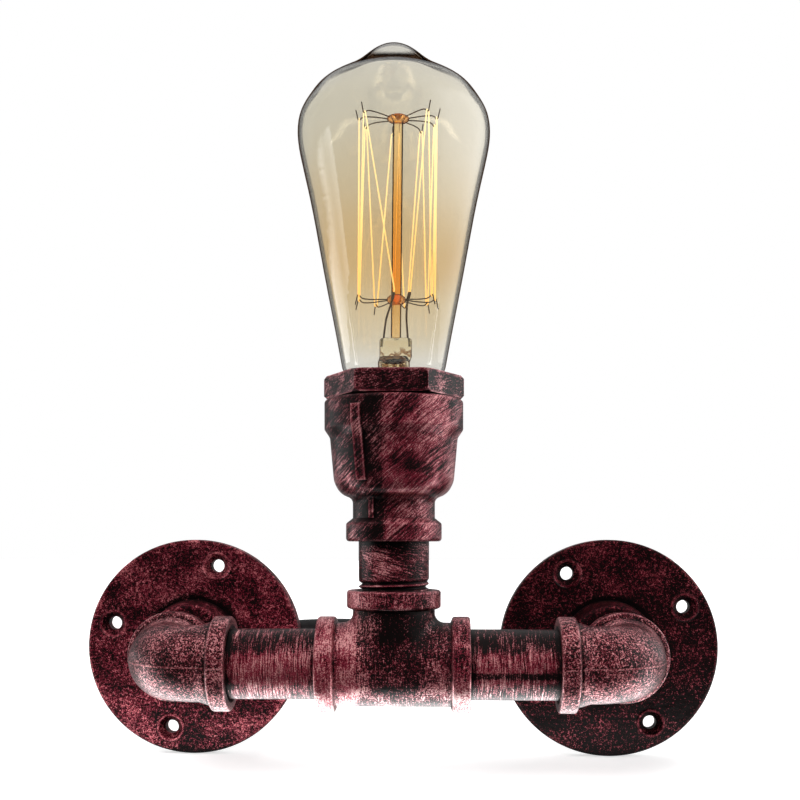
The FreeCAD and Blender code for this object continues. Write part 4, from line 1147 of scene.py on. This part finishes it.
@dataclass
class FilamentBulb:
    """The clear bulb with its caged filament, glass mount and screw cap."""

    groups: EffectGroups
    top: float = 187.3
    lower_bead: float = 110.25
    upper_bead: float = 164.95

    def dress(self) -> None:
        """Gives every piece of the bulb its glass, wire or metal."""
        self._dress_glass()
        filament = GlowingWire(
            "lit filament", hot=(1.0, 0.80, 0.46), warm=(1.0, 0.58, 0.15), heat_limits=(106.0, 150.0))
        wire = WorkedMetal("mount wire", (0.10, 0.075, 0.06), (0.03, 0.022, 0.018), roughness=0.42)
        cap = WorkedMetal("cap metal", (0.66, 0.64, 0.58), (0.30, 0.28, 0.24))
        insulator = MouldedStuff(
            "cap insulator", (0.012, 0.012, 0.016), (0.02, 0.02, 0.024), roughness=0.18, fineness=1.2,
            depth=0.01)
        wire_finish, cap_finish = wire.material(self.groups), cap.material(self.groups)
        for node in ("upper_supports", "lower_supports", "lead_wires"):
            dress(node, wire_finish)
        dress("filament", filament.material())
        dress("bulb_cap", cap_finish)
        dress("tip_contact", cap_finish)
        dress("cap_insulator", insulator.material(self.groups))

    def _dress_glass(self) -> None:
        """Tints the envelope and the parts of the mount; the filament's light on them is partly painted
        into their colours, and the mount glows faintly as painted light.
        """
        # the amber in the middle is partly the glass's tint and partly painted light of the filament on it
        envelope = TintedGlass(
            "bulb glass", (
                (86.0, (0.86, 0.86, 0.84)),
                (104.0, (0.81, 0.74, 0.60)),
                (122.0, (0.78, 0.64, 0.42)),
                (138.0, (0.77, 0.67, 0.50)),
                (160.0, (0.77, 0.74, 0.65)),
                (self.top, (0.80, 0.78, 0.72)),
            ), rim=(0.22, 0.16, 0.12), rim_from=0.76, rim_to=0.88, bending=1.06, coat=1.0, painted_highlight=0.5)
        # the rod's orange is partly its tint and partly painted filament light; its glow is painted light
        mount = TintedGlass(
            "mount glass", (
                (92.0, (0.90, 0.80, 0.55)),
                (self.lower_bead - 2.0, (0.85, 0.64, 0.32)),
                (self.lower_bead + 3.0, (1.0, 0.46, 0.05)),
                (138.0, (1.0, 0.58, 0.13)),
                (162.0, (1.0, 0.84, 0.50)),
            ), rim=(0.13, 0.05, 0.012), rim_from=0.22, rim_to=0.50, glow=(1.0, 0.42, 0.08),
            painted_glow_strength=0.07)
        press = TintedGlass(
            "pressed stem glass", ((90.0, (0.94, 0.86, 0.66)), (99.0, (0.92, 0.86, 0.66))),
            rim=(0.20, 0.075, 0.02), rim_from=0.45, rim_to=0.80, swirl=96.0)
        # the beads' faint glow is painted filament light
        bead = TintedGlass(
            "bead glass", ((self.lower_bead, (0.92, 0.50, 0.18)), (self.upper_bead, (0.94, 0.55, 0.20))),
            rim=(0.28, 0.07, 0.012), rim_from=0.40, rim_to=0.80, glow=(1.0, 0.36, 0.08),
            painted_glow_strength=0.06)
        bead_finish = bead.material()
        dress("bulb_glass", envelope.material())
        dress("support_rod", mount.material())
        dress("glass_stem", press.material())
        dress("lower_bead", bead_finish)
        dress("upper_bead", bead_finish)


@dataclass
class SupplyWiring:
    """The supply cable inside the fittings, and its tail behind the light with three stripped cores."""

    groups: EffectGroups
    cable_d: float = 6.0
    core_d: float = 2.1
    tail_length: float = 0.0904
    tail_route: Tuple[Point, ...] = (
        (-72.4, 0.0, 0.0), (-72.4, 14.0, 0.0), (-64.0, 25.0, 1.8), (-47.4, 29.5, 3.4),
        (-29.4, 30.0, 4.4), (-13.4, 29.0, 4.2), (-1.4, 29.5, 3.0))
    inner_route: Tuple[Point, ...] = (
        (-72.4, 0.0, 0.0), (-72.4, -55.0, 0.0), (0.0, -55.0, 0.0), (0.0, -55.0, 38.0))
    inner_pull: float = 4.0

    def build(self) -> None:
        """Lays the cables and their cores, and dresses the bare ends."""
        sheath = MouldedStuff(
            "black cable sheath", (0.012, 0.012, 0.013), (0.02, 0.02, 0.021), roughness=0.55, fineness=2.0)
        covers = {
            Core.LIVE: MouldedStuff(
                "brown core cover", (0.075, 0.028, 0.012), (0.09, 0.036, 0.016), roughness=0.4),
            Core.NEUTRAL: MouldedStuff(
                "blue core cover", (0.02, 0.09, 0.35), (0.03, 0.11, 0.40), roughness=0.4),
            Core.EARTH: MouldedStuff(
                "green core cover", (0.08, 0.24, 0.03), (0.13, 0.30, 0.03), roughness=0.4),
        }
        finishes = {core: cover.material(self.groups) for core, cover in covers.items()}
        cable_finish = sheath.material(self.groups)
        tail = soft_tube("tail_cable", self.tail_route, self.cable_d, cable_finish)
        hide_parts("supply_tail")
        for core, route in self._tail_cores().items():
            wire = soft_tube("tail_wire_" + core.value, route, self.core_d, finishes[core])
            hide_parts("tail_core_" + core.value)
        inner = soft_tube("inner_cable", self.inner_route, self.cable_d, cable_finish, self.inner_pull)
        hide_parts("supply_cable")
        for core, route in self._holder_cores().items():
            wire = soft_tube("holder_wire_" + core.value, route, self.core_d, finishes[core])
            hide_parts("core_" + core.value)
        copper = WorkedMetal("tinned copper", (0.62, 0.46, 0.34), (0.30, 0.17, 0.10))
        copper_finish = copper.material(self.groups)
        dress("conductor_ends", copper_finish)
        dress("tail_conductors", copper_finish)

    @staticmethod
    def _tail_cores() -> Dict[Core, Tuple[Point, ...]]:
        """Gives the routes of the cores that stand out of the tail's end, in millimetres."""
        return {
            Core.LIVE: ((-1.28, 29.51, 4.24), (1.96, 29.64, 3.92), (7.98, 29.89, 4.61),
                        (11.91, 30.05, 3.14)),
            Core.NEUTRAL: ((-1.51, 30.58, 2.38), (1.72, 30.71, 2.05), (7.36, 32.75, -0.36),
                           (11.19, 33.36, -2.61)),
            Core.EARTH: ((-1.42, 28.42, 2.38), (1.81, 28.55, 2.05), (7.6, 26.99, -0.36),
                         (11.47, 26.7, -2.61)),
        }

    @staticmethod
    def _holder_cores() -> Dict[Core, Tuple[Point, ...]]:
        """Gives the routes of the cores from the cable up to the lampholder, in millimetres."""
        return {
            Core.LIVE: ((1.08, -55.63, 38.0), (1.08, -55.63, 40.4), (6.0, -55.0, 45.4),
                        (6.0, -55.0, 46.7)),
            Core.NEUTRAL: ((-1.08, -55.63, 38.0), (-1.08, -55.63, 40.4), (-6.0, -55.0, 45.4),
                           (-6.0, -55.0, 46.7)),
            Core.EARTH: ((0.0, -53.75, 38.0), (0.0, -53.75, 40.4), (0.0, -48.4, 45.4),
                         (0.0, -48.4, 51.3)),
        }


def main() -> None:
    """Builds the studio and dresses the light, one sub-assembly after another."""
    logging.basicConfig(level=logging.INFO, format="%(name)s: %(message)s")
    bpy.context.scene.view_settings.view_transform = "Standard"
    Studio().build()
    groups = EffectGroups()
    SupplyWiring(groups).build()
    WallSide(groups).dress()
    Column(groups).dress()
    Lampholder(groups).dress()
    FilamentBulb(groups).dress()


if __name__ == "__main__":
    main()
